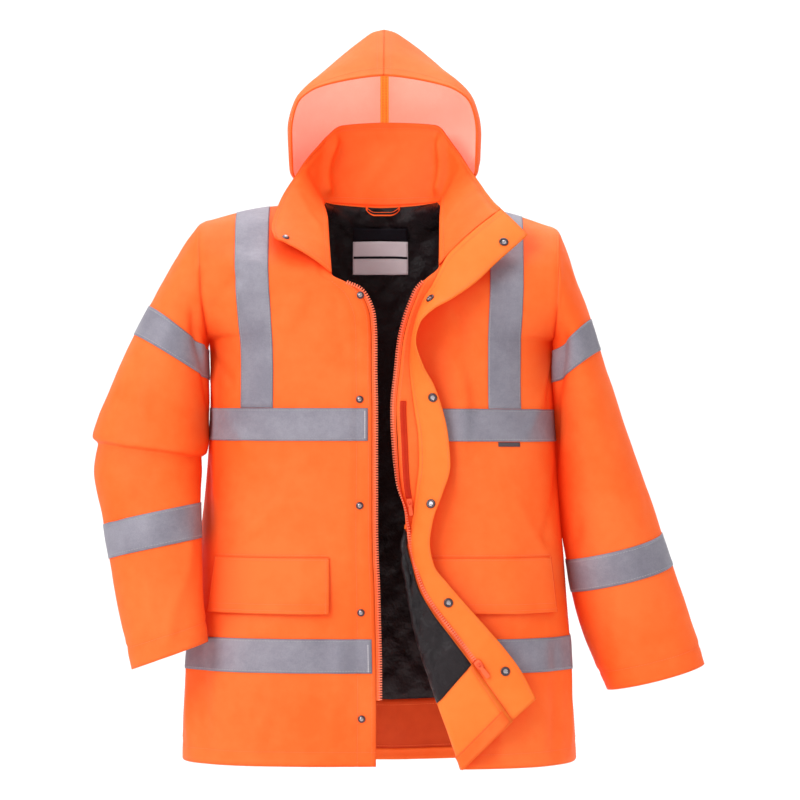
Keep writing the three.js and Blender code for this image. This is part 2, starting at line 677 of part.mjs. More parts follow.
// The body, with its seams drawn back
const right = makeFront(-1);
const left = makeFront(1);
const back = makeBack();
const rightSleeve = makeSleeve(-1, right, back, RIGHT_SLEEVE);
const leftSleeve = makeSleeve(1, left, back, LEFT_SLEEVE);
const sleeves = [rightSleeve, leftSleeve];
shareNormals([right.sheet, left.sheet, back.sheet, rightSleeve.sheet, leftSleeve.sheet]);
const rightNeck = [0, 1, 2].map((i) => right.sheet.normals[right.at(NECK_ROW + i, 0)]);
const backNeck = NECK_X.map((_, i) => back.sheet.normals[back.ids[TOP_ROW][15 - i]]);
const leftNeck = [2, 1, 0].map((i) => left.sheet.normals[left.at(NECK_ROW + i, 0)]);
for (const front of [right, left]) {
  drawBack(front.sheet, ROWS.map((row) => [front.at(row, LAST_FRONT), front.at(row, LAST_FRONT - 1)]));
  const shoulder = FRONT_COLUMNS.map((_, c) => [front.at(TOP_ROW, c), front.at(TOP_ROW - 1, c)]);
  drawBack(front.sheet, shoulder, SEAM_GAP);
}
drawBack(back.sheet, ROWS.map((row) => [back.ids[row][0], back.ids[row][1]]));
drawBack(back.sheet, ROWS.map((row) => [back.ids[row][back.width], back.ids[row][back.width - 1]]));
drawBack(back.sheet, back.ids[TOP_ROW].map((id, c) => [id, back.ids[TOP_ROW - 1][c]]));
// Under the arm the body and the sleeve both go down, so the sleeve starts further off there.
for (const { sheet, ids } of sleeves) {
  const pairs = ids[0].map((id, c) => [id, ids[1][c]]);
  const underArm = pairs.filter(([id]) => sheet.points[id].z < BODY[ARMPIT_ROW + 1].sideZ + 5);
  drawBack(sheet, pairs);
  drawBack(sheet, underArm, UNDER_ARM_GAP);
}
addPiece("front_right", wall(right.sheet, -half, half), cloth);
addPiece("front_left", wall(left.sheet, -half, half), cloth);
addPiece("back_panel", wall(back.sheet, -half, half), cloth);
addPiece("sleeve_right", wall(rightSleeve.sheet, -half, half), cloth);
addPiece("sleeve_left", wall(leftSleeve.sheet, -half, half), cloth);

const collar = makeCollar([...rightNeck, ...backNeck, ...leftNeck]);
addPiece("collar", wall(collar.sheet, -COLLAR_WALL / 2, COLLAR_WALL / 2), cloth);
const hood = makeHood();
addPiece("hood", wall(hood.sheet, -half, half), cloth);

// The turned strip with the panel's first column, which its lining and facing also cover
const cornerIds = left.turned.map((row, r) => [...row.slice(0, -1), ...left.ids[r].slice(0, 2)]);
const corner = { sheet: left.sheet, ids: cornerIds };
const cornerWidth = cornerIds[0].length - 1;
const turnedOnly = overlay(corner, spread(0, ROLL_ROW - 1), spread(0, ROLL_STEPS + TURNED_STEPS));
const storm = makeStormFlap(left, turnedOnly, collar);
addPiece("storm_flap", wall(storm.sheet, -half, half), flapCloth);

// Columns of a front are counted from its front edge, and its grid runs the other way on the right side.
const frontColumns = (front, from, to) =>
  spread(from, to).map((c) => (front.side < 0 ? LAST_FRONT - c : c)).sort((a, b) => a - b);

// Lining and hem facings, inside the panels
const innerFace = -half - LAYER_GAP;
const liningRows = spread(FACING_ROW + 0.01, TOP_ROW);
const facingRows = spread(0, FACING_ROW);
const backColumns = spread(0, back.width);
const liningBack = overlay(back, liningRows, backColumns);
const liningRight = overlay(right, liningRows, frontColumns(right, 1, LAST_FRONT));
const liningLeft = overlay(left, liningRows, frontColumns(left, 1, LAST_FRONT));
for (const sheet of [liningBack, liningRight, liningLeft]) {
  const columns = sheet.points.length / liningRows.length;
  const top = sheet.points.length - columns;
  drawBack(sheet, Array.from({ length: columns }, (_, c) => [top + c, top - columns + c]), LINING_DRAW);
}
const turnedLiningRows = spread(FACING_ROW + 0.01, ROLL_ROW - 1);
overlay(corner, turnedLiningRows, spread(0.08, cornerWidth), { onto: liningLeft });
for (const [name, sheet] of Object.entries({ back: liningBack, right: liningRight, left: liningLeft }))
  addPiece(`lining_${name}`, wall(sheet, innerFace - LINING, innerFace), lining);
const facingBack = overlay(back, facingRows, backColumns);
const facingRight = overlay(right, facingRows, frontColumns(right, 0, LAST_FRONT));
const facingLeft = overlay(left, facingRows, frontColumns(left, 1, LAST_FRONT));
overlay(corner, facingRows, spread(0.02, cornerWidth), { onto: facingLeft });
for (const [name, sheet] of Object.entries({ back: facingBack, right: facingRight, left: facingLeft }))
  addPiece(`hem_facing_${name}`, wall(sheet, innerFace - FACING, innerFace), flapCloth);

// Reflective tape
const outerFace = half + LAYER_GAP;
function addTape(name, panel, rows, columns, closed = false) {
  addPiece(name, wall(overlay(panel, rows, columns, { closed }), outerFace, outerFace + TAPE), tape);
}
addTape("chest_tape_right", right, spread(...CHEST_TAPE_ROWS), frontColumns(right, 0.3, LAST_FRONT));
addTape("chest_tape_left", left, spread(...CHEST_TAPE_ROWS), frontColumns(left, 1.2, LAST_FRONT));
addTape("chest_tape_back", back, spread(...CHEST_TAPE_ROWS), backColumns);
addTape("hem_tape_right", right, spread(...HEM_TAPE_ROWS), frontColumns(right, 0.02, LAST_FRONT));
addTape("hem_tape_left", left, spread(...HEM_TAPE_ROWS), frontColumns(left, 0.2, LAST_FRONT));
addTape("hem_tape_back", back, spread(...HEM_TAPE_ROWS), backColumns);
const braceRows = spread(CHEST_TAPE_ROWS[1] + 0.01, TOP_ROW);
addTape("brace_right", right, braceRows, frontColumns(right, ...BRACE_COLUMNS));
addTape("brace_left", left, braceRows, frontColumns(left, ...BRACE_COLUMNS));
addTape("brace_back_right", back, braceRows, spread(...BACK_BRACES.right));
addTape("brace_back_left", back, braceRows, spread(...BACK_BRACES.left));
const places = ["upper", "lower"];
SLEEVE_TAPES.right.forEach((rows, i) =>
  addTape(`sleeve_tape_right_${places[i]}`, rightSleeve, rows, rightSleeve.ids[0].map((_, c) => c), true),
);
SLEEVE_TAPES.left.forEach((rows, i) =>
  addTape(`sleeve_tape_left_${places[i]}`, leftSleeve, rows, leftSleeve.ids[0].map((_, c) => c), true),
);

// Pocket flaps stand off a little at their lower, free edge.
for (const [name, front] of Object.entries({ right, left })) {
  const sheet = overlay(front, spread(...POCKET_ROWS), frontColumns(front, ...POCKET_COLUMNS[name]));
  const perRow = sheet.points.length / spread(...POCKET_ROWS).length;
  const rise = (id) => FLAP_LIFT * (1 - Math.floor(id / perRow) / (POCKET_ROWS[1] - POCKET_ROWS[0]));
  const geometry = wall(sheet, (id) => outerFace + rise(id), (id) => outerFace + rise(id) + FLAP_WALL);
  addPiece(`pocket_flap_${name}`, geometry, cloth);
}

// Front zip: tape and teeth along both front edges
const towards = (from, to) => to.clone().sub(from).normalize();
const zipRows = ROWS.slice(2, NECK_ROW);
const frontEdgeAt = (front, row) => {
  const [edge, inside] = [0, 1].map((c) => front.sheet.points[front.at(row, c)]);
  return { edge, way: towards(inside, edge) };
};
const rightZip = makeStrip(zipRows.map((row) => frontEdgeAt(right, row)).reverse(), ZIP_WIDTH);
// The left edge turns over from facing the middle, through facing the viewer, to the turned strip's side.
const TURN_OVER = { 8: [0.3, -0.95], 9: [-0.55, -0.84], 10: [-0.9, -0.44] };
const leftZipEdges = zipRows.map((row) => {
  if (row < ROLL_ROW) {
    const [edge, inside] = [0, 1].map((c) => left.sheet.points[left.turned[row][c]]);
    return { edge, way: towards(inside, edge) };
  }
  const { edge, way } = frontEdgeAt(left, row);
  if (!TURN_OVER[row]) return { edge, way };
  const over = new THREE.Vector3(...TURN_OVER[row], 0);
  return { edge: edge.clone().addScaledVector(over, half + LAYER_GAP), way: over };
});
const leftZip = makeStrip(leftZipEdges, ZIP_WIDTH);
addPiece("zip_right", wall(rightZip, -ZIP_WALL / 2, ZIP_WALL / 2), cloth);
addPiece("zip_left", wall(leftZip, -ZIP_WALL / 2, ZIP_WALL / 2), cloth);

// Press studs and sockets
const studProfile = [[0, 0], [STUD_RADIUS, 0], [STUD_RADIUS, 1], [3.2, 1.8], [2.4, 3.2], [0, 3.4]];
const socketProfile = [[0, 0], [SOCKET_RADIUS, 0], [SOCKET_RADIUS, 1.1], [5.2, 1.9], [3, 1.9], [2.6, 1.1], [0, 1.1]];
const studSpots = [
  [collar.sheet, COLLAR_STUD, COLLAR_WALL / 2],
  ...STUDS.map((spot) => [right.sheet, spot, half]),
];
studSpots.forEach(([sheet, { x, z }, thick], i) =>
  addPiece(`stud_${i + 1}`, makeRound(studProfile, seenAt(sheet, x, z), thick + LAYER_GAP), metal),
);
SOCKETS.forEach(({ x, z, lift }, i) =>
  addPiece(`socket_${i + 1}`, makeRound(socketProfile, seenAt(storm.sheet, x, z), half + lift), metal),
);

// A zip's slider with a bridge, and its pull tab, whose eye passes under the bridge. Both are made about the
// bridge's axis: x along the axis, y towards the slider's nose, z away from the cloth.
const wasm = await Module();
wasm.setup();
function toManifold(geometry) {
  const place = geometry.getAttribute("position");
  const index = geometry.index ? [...geometry.index.array] : [...Array(place.count).keys()];
  const mesh = new wasm.Mesh({ numProp: 3, vertProperties: place.array, triVerts: new Uint32Array(index) });
  mesh.merge();
  return new wasm.Manifold(mesh);
}
function toGeometry(solid) {
  const mesh = solid.getMesh();
  const geometry = new THREE.BufferGeometry();
  geometry.setAttribute("position", new THREE.Float32BufferAttribute(mesh.vertProperties, 3));
  return geometry.setIndex([...mesh.triVerts]);
}
const plate = (outline, depth, holes = []) => {
  const shape = new THREE.Shape(outline.map(([x, y]) => new THREE.Vector2(x, y)));
  shape.holes = holes.map((hole) => new THREE.Path(hole.map(([x, y]) => new THREE.Vector2(x, y))));
  return new THREE.ExtrudeGeometry(shape, { depth, bevelEnabled: false });
};
const AXIS_HEIGHT = 1.3; // from the slider's face to the middle of the eye's bar
function makeSlider(size) {
  const outline = [[-5, -8], [-2.5, -9], [2.5, -9], [5, -8], [6, 0], [5.4, 7], [3, 8.6], [-3, 8.6], [-5.4, 7], [-6, 0]];
  const body = plate(outline, 4.4).translate(0, 0, -AXIS_HEIGHT - 4.4);
  const arch = [-0.15, 0.15, 0.35, 0.5, 0.65, 0.85, 1.15].map((t) => Math.PI * t);
  const ring = (radius) => arch.map((t) => [radius * Math.cos(t), Math.max(-AXIS_HEIGHT - 0.4, radius * Math.sin(t))]);
  const legs = [[2.9, -AXIS_HEIGHT - 0.4], ...ring(2.9), [-2.9, -AXIS_HEIGHT - 0.4], [-1.7, -AXIS_HEIGHT - 0.4]];
  const bridge = plate([...legs, ...ring(1.7).reverse(), [1.7, -AXIS_HEIGHT - 0.4]], 1.6);
  bridge.translate(0, 0, -0.8).rotateX(Math.PI / 2).rotateZ(Math.PI / 2);
  const solid = toManifold(body).add(toManifold(bridge));
  return toGeometry(solid).scale(size, size, size);
}
function makePullTab(size) {
  const outline = [[-3.4, 0.8], [3.4, 0.8], [3.6, -6], [3.0, -8], [4.0, -12], [4.0, -25], [3, -27], [-3, -27]];
  const rest = [[-4.0, -25], [-4.0, -12], [-3.0, -8], [-3.6, -6]];
  const eye = [[-2, -0.8], [-2, -4.4], [2, -4.4], [2, -0.8]];
  const tab = plate([...outline, ...rest], 1.4, [eye]).translate(0, 0, -0.7);
  return tab.scale(size, size, size);
}
function placeSlider(name, size, { point, down, normal }) {
  const across = new THREE.Vector3().crossVectors(down, normal).negate().normalize();
  const nose = down.clone().negate();
  const turn = new THREE.Matrix4().makeBasis(across, nose, new THREE.Vector3().crossVectors(across, nose));
  turn.setPosition(point);
  addPiece(`${name}_slider`, makeSlider(size).applyMatrix4(turn), lacquer);
  addPiece(`${name}_pull_tab`, makePullTab(size).applyMatrix4(turn), lacquer);
}
// The main slider stands just past the lower end of the left zip.
const zipEnd = leftZip.points.slice(0, 2);
const nextRow = leftZip.points.slice(2, 4);
const zipDown = towards(nextRow[1], zipEnd[1]);
const zipNormal = new THREE.Vector3().crossVectors(towards(zipEnd[1], zipEnd[0]), zipDown).normalize();
if (zipNormal.y > 0) zipNormal.negate();
const zipMiddle = zipEnd[0].clone().lerp(zipEnd[1], 0.12);
placeSlider("zip", 0.85, {
  point: zipMiddle.addScaledVector(zipDown, 8.2).addScaledVector(zipNormal, 4.6),
  down: zipDown,
  normal: zipNormal,
});

// Inner pocket zip, beside the left front edge
const pocketZip = overlay(left, spread(8.55, 11.2), spread(0.16, 0.42));
addPiece("pocket_zip", wall(pocketZip, outerFace, outerFace + 1.2), cloth);
const pocketEnd = spot(left, 8.55, 0.29);
const pocketDown = towards(spot(left, 9, 0.29).point, pocketEnd.point);
placeSlider("pocket_zip", 0.7, {
  point: pocketEnd.point.addScaledVector(pocketDown, 6.8).addScaledVector(pocketEnd.normal, outerFace + 4.2),
  down: pocketDown,
  normal: pocketEnd.normal,
});

// Labels inside the back neck, the tab under the left chest tape and the hanging loop
const backFace = innerFace - LINING - LABEL_GAP;
const labelColumns = [11, 12, 13];
function addLabel(name, rows, material) {
  addPiece(name, wall(overlay(back, rows, labelColumns), backFace - LABEL_WALL, backFace), material);
}
addLabel("neck_label", spread(18.13, 18.84), lining);
addLabel("care_label", spread(17.03, 18.03), label);
const chestTab = overlay(left, spread(9.86, 9.98), spread(4.5, 5.8));
addPiece("chest_tab", wall(chestTab, outerFace, outerFace + LABEL_WALL), lining);
const loopRows = LOOP.map(({ x, y, z }) => {
  const top = new THREE.Vector3(x, y, z + LOOP_WIDTH / 2);
  return [top, new THREE.Vector3(x, y, z - LOOP_WIDTH / 2)];
});
const loop = new Sheet();
loop.grid(loopRows);
loop.findNormals();
addPiece("hanging_loop", wall(loop, -0.6, 0.6), flapCloth);

export default jacket;
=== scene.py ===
"""Looks of a padded, hooded hi-vis work jacket, filled out as if worn, with its front open.

Lengths in the tables are millimetres, +Z up, the front faces -Y and the wearer's right is at -X. Meshes
are metres. A sheet of cloth is a grid of points worked out from short tables, moved along its normals by
its creases, and given a wall. What lies on a panel is worked out from the same panel, further out.
"""
import math

import bmesh
import bpy
import numpy as np
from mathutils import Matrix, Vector


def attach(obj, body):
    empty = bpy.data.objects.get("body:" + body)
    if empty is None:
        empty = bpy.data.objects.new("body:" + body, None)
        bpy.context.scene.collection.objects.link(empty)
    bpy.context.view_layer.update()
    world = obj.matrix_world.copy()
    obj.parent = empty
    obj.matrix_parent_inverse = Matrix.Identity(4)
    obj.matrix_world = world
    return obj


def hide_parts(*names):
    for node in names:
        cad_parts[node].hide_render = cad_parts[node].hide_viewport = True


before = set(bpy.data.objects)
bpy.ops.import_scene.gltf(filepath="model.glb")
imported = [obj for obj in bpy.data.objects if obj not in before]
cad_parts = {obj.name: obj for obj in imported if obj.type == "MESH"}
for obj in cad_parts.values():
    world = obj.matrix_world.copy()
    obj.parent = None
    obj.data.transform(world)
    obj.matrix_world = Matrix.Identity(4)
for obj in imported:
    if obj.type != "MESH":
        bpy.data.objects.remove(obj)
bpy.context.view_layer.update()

# sizes and tables
SHELL, COLLAR_WALL, TAPE, FACING = 2.0, 2.6, 0.9, 0.8
LAYER = 0.3
BRACE_IN, BRACE_OUT, TIP_X = 165.0, 215.0, 268.0
SHOULDER_RISE = 9.0
FACING_ROW, ROLL_ROW, ARMPIT_ROW, NECK_ROW, TOP_ROW = 2, 8, 13, 17, 20

# sideZ right left armhole front back backZ sidePower sideRound, from the hem to the shoulder seam
BODY = np.array([
    [-833, 296, 294, 0, 128, 118, -850, 3.2, 0.45],
    [-775, 295, 291, 0, 128, 118, -800, 3.2, 0.45],
    [-735, 293, 288, 0, 128, 119, -757, 3.2, 0.45],
    [-695, 291, 286, 0, 128, 119, -713, 3.2, 0.45],
    [-645, 288, 284, 0, 127, 119, -660, 3.2, 0.45],
    [-608, 284, 281, 0, 127, 118, -620, 3.2, 0.45],
    [-567, 279, 278, 0, 126, 118, -576, 3.2, 0.45],
    [-526, 274, 275, 0, 126, 117, -532, 3.2, 0.45],
    [-470, 266, 270, 0, 125, 117, -474, 3.2, 0.45],
    [-412, 260, 266, 0, 124, 118, -414, 3.2, 0.45],
    [-354, 256, 263, 0, 123, 119, -354, 3.2, 0.45],
    [-306, 254, 260, 0, 122, 120, -306, 3.2, 0.46],
    [-252, 254, 259, 0, 121, 121, -252, 3.1, 0.48],
    [-205, 256, 259, 0, 120, 122, -205, 3.0, 0.52],
    [-196, 258, 260, 41, 120, 123, -180, 2.9, 0.7],
    [-171, 261, 262, 73, 119, 124, -155, 2.7, 0.85],
    [-135, 264, 264, 90, 116, 124, -128, 2.5, 1.0],
    [-96, 266, 265, 89, 112, 122, -101, 2.2, 1.0],
    [-61, 268, 266, 72, 72, 115, -48, 1.6, 1.0],
    [-36, 269, 267, 40, 28, 104, -22, 0.9, 1.0],
    [-27, 269, 267, 0, -12, 90, 3, 0.9, 1.0],
], float)
SIDE_Z, RIGHT, LEFT, ARMHOLE, FRONT, BACK, BACK_Z, POWER, ROUND = range(9)

# x z of the right front edge, hem to front neck point
RIGHT_EDGE = np.array([
    [-5, -832], [-5, -775], [-5, -735], [-5, -695], [-6, -645], [-7, -608], [-8, -567], [-10, -526],
    [-11, -470], [-11, -412], [-11, -354], [-11, -306], [-12, -252], [-12, -207], [-14, -172], [-28, -137],
    [-49, -121]], float)
# x z of the fold or the edge, edgeX edgeZ of the turned strip's edge, radius of the roll
LEFT_EDGE = np.array([
    [121, -836, 195, -763, 9], [101, -780, 161, -715, 9], [86, -737, 136, -679, 9],
    [72, -695, 107, -641, 9], [56, -645, 76, -600, 8], [47, -608, 60, -572, 7],
    [41, -567, 50, -540, 6], [34, -526, 42, -505, 5], [38, -470, 38, -470, 0],
    [30, -412, 30, -412, 0], [27, -354, 27, -354, 0], [25, -306, 25, -306, 0],
    [30, -252, 30, -252, 0], [35, -207, 35, -207, 0], [43, -174, 43, -174, 0],
    [53, -147, 53, -147, 0], [66, -119, 66, -119, 0]], float)
# neck seam x y z, collar's top edge x y z, and the cloth's direction out at the seam
NECK = np.array([
    [-71, -112, -108, -155, -100, -54, 0.02, -0.838, 0.545],
    [-75, -72, -66, -161, -66, -36, 0.024, -0.715, 0.698],
    [-79, -28, -22, -150, -24, 4, 0.037, -0.659, 0.751],
    [-86, 12, 2, -128, 16, 46, -0.182, -0.081, 0.98],
    [-85, 50, 7, -98, 54, 90, -0.838, 0.528, -0.138],
    [-60, 80, 6, -58, 86, 128, -0.35, 0.9, 0.261],
    [3, 90, 3, 14, 96, 133, 0.068, 0.905, 0.419],
    [65, 80, 6, 84, 90, 129, 0.376, 0.897, 0.232],
    [89, 50, 7, 112, 58, 95, 0.815, 0.507, 0.281],
    [92, 12, 2, 138, 25, 54, 0.194, -0.122, 0.973],
    [90, -28, -24, 160, -14, 18, -0.01, -0.604, 0.797],
    [89, -66, -62, 172, -46, 0, 0.003, -0.705, 0.709],
    [88, -102, -96, 180, -74, -10, 0.025, -0.731, 0.682],
], float)
NECK_X = np.array([0, 43, 64, 86], float)
# outX outZ inX inZ depth y bend of each sleeve ring
RIGHT_SLEEVE = np.array([
    [288, -52, 260, -210, 90, -2, 1.0], [312, -92, 260, -214, 86, -5, 1.1],
    [345, -154, 259, -220, 80, -10, 1.3], [367, -197, 257, -264, 78, -14, 1.2],
    [398, -262, 256, -310, 77, -20, 1.1], [421, -318, 257, -348, 77, -27, 1.1],
    [429, -348, 261, -372, 79, -32, 1.0], [421, -360, 269, -380, 70, -34, 1.0],
    [425, -398, 267, -406, 73, -40, 1.0], [409, -479, 267, -446, 66, -64, 0.8],
    [399, -529, 265, -498, 62, -78, 0.8], [384, -610, 261, -575, 55, -94, 0.9],
    [365, -691, 253, -650, 48, -104, 0.9]], float)
LEFT_SLEEVE = np.array([
    [281, -72, 262, -214, 88, 0, 1.0], [297, -120, 262, -218, 84, 0, 1.1],
    [316, -173, 262, -224, 79, 0, 1.3], [331, -219, 261, -270, 77, 0, 1.2],
    [352, -280, 263, -332, 76, 0, 1.1], [376, -350, 267, -400, 75, 2, 1.0],
    [399, -415, 272, -462, 73, 4, 0.8], [424, -494, 282, -534, 70, 4, 0.7],
    [440, -542, 289, -583, 69, 4, 0.7], [462, -612, 309, -652, 66, 2, 0.8],
    [487, -692, 343, -730, 62, 0, 0.9]], float)
SLEEVE_TAPES = {"right": [(3, 4), (10, 11)], "left": [(3, 4), (8, 9)]}
# x of the hood's middle seam
HOOD_MIDDLE = 6.0
# The hood's crown stands higher by its rise: none at its foot, all of it at its full height, less by the
# dip within the dip's width of the middle, and never above its top.
CROWN_FOOT, CROWN_FULL, CROWN_POWER = 166.0, 266.0, 1.4
CROWN_RISE, CROWN_DIP, DIP_WIDTH, HOOD_TOP = 18.0, 7.0, 14.0, 275.0
# place, then wide y z at seven heights, of the hood's sections from the rim to the back seam
HOOD_PLACE = np.array([0.0, 0.33, 0.68, 1.0])
HOOD = np.array([
    [106, 30, 12, 139, 25, 54, 140, 4, 110, 131, -3, 153, 106, -9, 174, 56, -12, 186, 0, -14, 193],
    [101, 54, 14, 143, 46, 56, 146, 42, 114, 136, 40, 160, 108, 36, 190, 56, 34, 214, 0, 32, 232],
    [74, 92, 12, 134, 102, 58, 145, 104, 118, 137, 104, 156, 110, 104, 192, 58, 104, 232, 0, 96, 266],
    [0, 104, 10, 0, 140, 50, 0, 172, 96, 0, 186, 146, 0, 178, 196, 0, 150, 238, 0, 112, 266],
], float).reshape(4, 7, 3)
# sewn edge x y z and free edge x y z of the storm flap, from the collar to the hem
STORM_FLAP = np.array([
    [180.5, -74.3, -10.5, 219, -98, -50], [139.2, -92.8, -43.8, 172, -128, -92],
    [101.4, -102.5, -80.8, 138, -146, -124], [78.1, -122.7, -125.4, 106, -158, -146],
    [64, -121.5, -147.7, 80, -166, -160], [54, -122.5, -173.9, 58, -172, -182],
    [47, -122.5, -207, 52, -168, -208], [45, -123.3, -239.9, 64, -158, -244],
    [48, -124, -276, 80, -148, -272], [52, -124.6, -309.9, 92, -142, -306],
    [57, -125.4, -347.9, 101, -139, -348], [58, -126, -385, 104, -140, -390],
    [54, -126.7, -424, 92, -144, -432], [50, -127.4, -460, 79, -148, -468],
    [41.9, -131.1, -509, 74, -147, -503], [49.4, -134.3, -544.5, 80, -147, -535],
    [59.5, -141.3, -576.8, 99, -147, -561], [74.4, -143.9, -604.5, 124, -147, -590],
    [104.5, -147, -645.1, 155, -147, -625], [132.8, -147.1, -682.7, 185, -147, -660],
    [157.7, -147.2, -718.6, 207, -147, -690], [190.1, -147.1, -765.9, 229, -147, -731]], float)
# x y z of the foot and the direction out of each press stud and socket
STUDS = np.array([
    [-138.5, -95.6, -53.7, 0.295, -0.492, 0.819], [-28, -120.4, -140, -0.005, -1, 0.027],
    [-28.9, -123.9, -293, 0.046, -0.999, 0.019], [-28.9, -126.8, -449, 0.046, -0.999, 0.017],
    [-27, -128.2, -606, -0.001, -1, 0.024], [-26, -129.2, -762, -0.003, -1, 0]])
SOCKETS = np.array([
    [183, -107.9, -61.3, 0.028, -0.845, 0.534], [74.4, -139.6, -145.3, -0.494, -0.695, 0.522],
    [78.1, -143, -290.4, -0.563, -0.79, -0.243], [75.4, -141.5, -445.7, -0.376, -0.91, 0.177],
    [100.9, -147, -590, -0.058, -0.998, -0.013], [184, -148.3, -690, 0.001, -1, 0.001]])
# x width depth z0 z1 of the soft upright folds that the solids have too
FOLDS = np.array([
    [-205, 26, 4, -840, -640], [-120, 34, 3, -840, -420], [-52, 22, 2.5, -600, -180],
    [104, 24, 3.5, -420, -150], [196, 26, 4, -700, -420], [236, 20, 3, -840, -650]], float)
BACK_FOLDS = np.array([
    [-150, 30, 5, -850, -380], [-40, 34, 4, -850, -480], [84, 30, 5, -850, -420],
    [190, 26, 4, -850, -560]], float)
LEFT_DROP = np.array([[0, 0], [13, 3], [20, 10]], float)
# hanging loop x y z
LOOP = np.array([[-22, 84, 1], [-18, 80, -4], [-8, 75, -9], [15, 75, -9], [26, 80, -4], [30, 84, 1]])


# curves and noise
def mix(a, b, t):
    return a + (b - a) * t


def smooth(t):
    """3t^2 - 2t^3 between 0 and 1."""
    t = np.clip(t, 0, 1)
    return t * t * (3 - 2 * t)


def curve(values, at, places=None):
    """A cubic through values along their first axis that never swings past them: the tangent at each
    value is the harmonic mean of the slopes beside it, or 0 where they differ in sign."""
    values = np.asarray(values, float)
    flat = values.reshape(len(values), -1)
    x = np.arange(len(values), dtype=float) if places is None else np.asarray(places, float)
    at = np.asarray(at, float)
    step = np.diff(x)[:, None]
    slope = np.diff(flat, axis=0) / step
    before, after = slope[:-1], slope[1:]
    total = np.where(np.abs(before + after) < 1e-12, 1, before + after)
    inner = np.where(before * after > 0, 2 * before * after / total, 0)
    tangent = np.concatenate([slope[:1], inner, slope[-1:]])
    i = np.clip(np.searchsorted(x, at.ravel(), side="right") - 1, 0, len(x) - 2)
    h = step[i]
    t = np.clip((at.ravel() - x[i])[:, None] / h, 0, 1)
    rise = t * t * (3 - 2 * t)
    out = mix(flat[i], flat[i + 1], rise)
    out = out + t * (1 - t) ** 2 * h * tangent[i] - t * t * (1 - t) * h * tangent[i + 1]
    return out.reshape(at.shape + values.shape[1:])


def noise(points, size, seed):
    """Value noise from -1 to 1: random numbers at the corners of cells of that size, blended smoothly."""
    p = np.asarray(points) / size + 1000.0
    cell = np.floor(p).astype(np.int64)
    f = smooth(p - cell)

    def corner(dx, dy, dz):
        n = (cell[..., 0] + dx) * 73856093 ^ (cell[..., 1] + dy) * 19349663
        n = n ^ (cell[..., 2] + dz) * 83492791 ^ seed * 2654435761
        n = (n ^ (n >> 13)) * 1274126177 & 0xFFFFFFFF
        return (n ^ (n >> 16)) % 10007 / 5003.0 - 1

    def edge(dy, dz):
        return mix(corner(0, dy, dz), corner(1, dy, dz), f[..., 0])

    low = mix(edge(0, 0), edge(1, 0), f[..., 1])
    high = mix(edge(0, 1), edge(1, 1), f[..., 1])
    return mix(low, high, f[..., 2])


def unit(v):
    return v / np.maximum(np.linalg.norm(v, axis=-1, keepdims=True), 1e-9)


def normals_of(p, closed=False):
    """The cross product of the two grid directions, by central differences."""
    if closed:
        wide = np.concatenate([p[:, -2:-1], p, p[:, 1:2]], axis=1)
        du = (wide[:, 2:] - wide[:, :-2]) / 2
    else:
        du = np.gradient(p, axis=1)
    dv = np.gradient(p, axis=0)
    return unit(np.cross(du, dv))


# panels
def hump(t):
    return np.where(np.abs(t) < 1, (1 + np.cos(np.pi * np.clip(t, -1, 1))) / 2, 0)


def fold_depth(folds, x, z):
    """Soft upright waves: a cosine hump across times a longer one along."""
    total = 0
    for fx, width, depth, z0, z1 in folds:
        along = (z - (z0 + z1) / 2) / ((z1 - z0) / 2)
        total = total + depth * hump((x - fx) / width / 1.6) * hump(along / 1.2)
    return total


def side_of(side, row):
    drop = curve(LEFT_DROP[:, 1], row, LEFT_DROP[:, 0]) if side > 0 else 0
    return side * BODY[row, RIGHT if side < 0 else LEFT], BODY[row, SIDE_Z] - drop


def front_edge(side, row):
    """x y z of a front's edge at a whole row: the zip edge, then the neck seam."""
    if row >= NECK_ROW:
        neck = NECK[row - NECK_ROW if side < 0 else 12 - (row - NECK_ROW)]
        return neck[:3]
    edge = RIGHT_EDGE[row] if side < 0 else LEFT_EDGE[row]
    roll = 0 if side < 0 else LEFT_EDGE[row, 4]
    return np.array([edge[0] + roll, -BODY[row, FRONT], edge[1]])


def front_x(u, inner, edge):
    """Distance from the middle: even steps to the brace and across it, then a quarter circle's to the
    side."""
    scale = edge / TIP_X
    a = mix(inner, BRACE_IN * scale, u / 4)
    b = mix(BRACE_IN, BRACE_OUT, (u - 4) / 2) * scale
    c = mix(BRACE_OUT * scale, edge, np.sin(np.clip((u - 6) / 5, 0, 1) * np.pi / 2))
    return np.where(u < 4, a, np.where(u < 6, b, c))


def rise_at(row, w):
    return SHOULDER_RISE * np.sin(np.pi * np.clip(w, 0, 1)) * max(0, 1 - (TOP_ROW - row) / 2)


def front_row(side, row, u):
    """Depth falls from the front edge to the side by (1 - w^power)^round; height runs evenly between the
    two."""
    body = BODY[row]
    edge_x, edge_z = side_of(side, row)
    inner = front_edge(side, row)
    x = side * front_x(u, abs(inner[0]), abs(edge_x))
    w = np.clip(np.abs((x - inner[0]) / (edge_x - inner[0])), 0, 1)
    y = mix(-body[ARMHOLE], inner[1], (1 - w ** body[POWER]) ** body[ROUND])
    z = mix(inner[2], edge_z, w) + rise_at(row, w)
    fold = np.where((w > 0) & (w < 1), fold_depth(FOLDS, x, z), 0)
    return np.stack([x, y - fold, z], axis=-1)


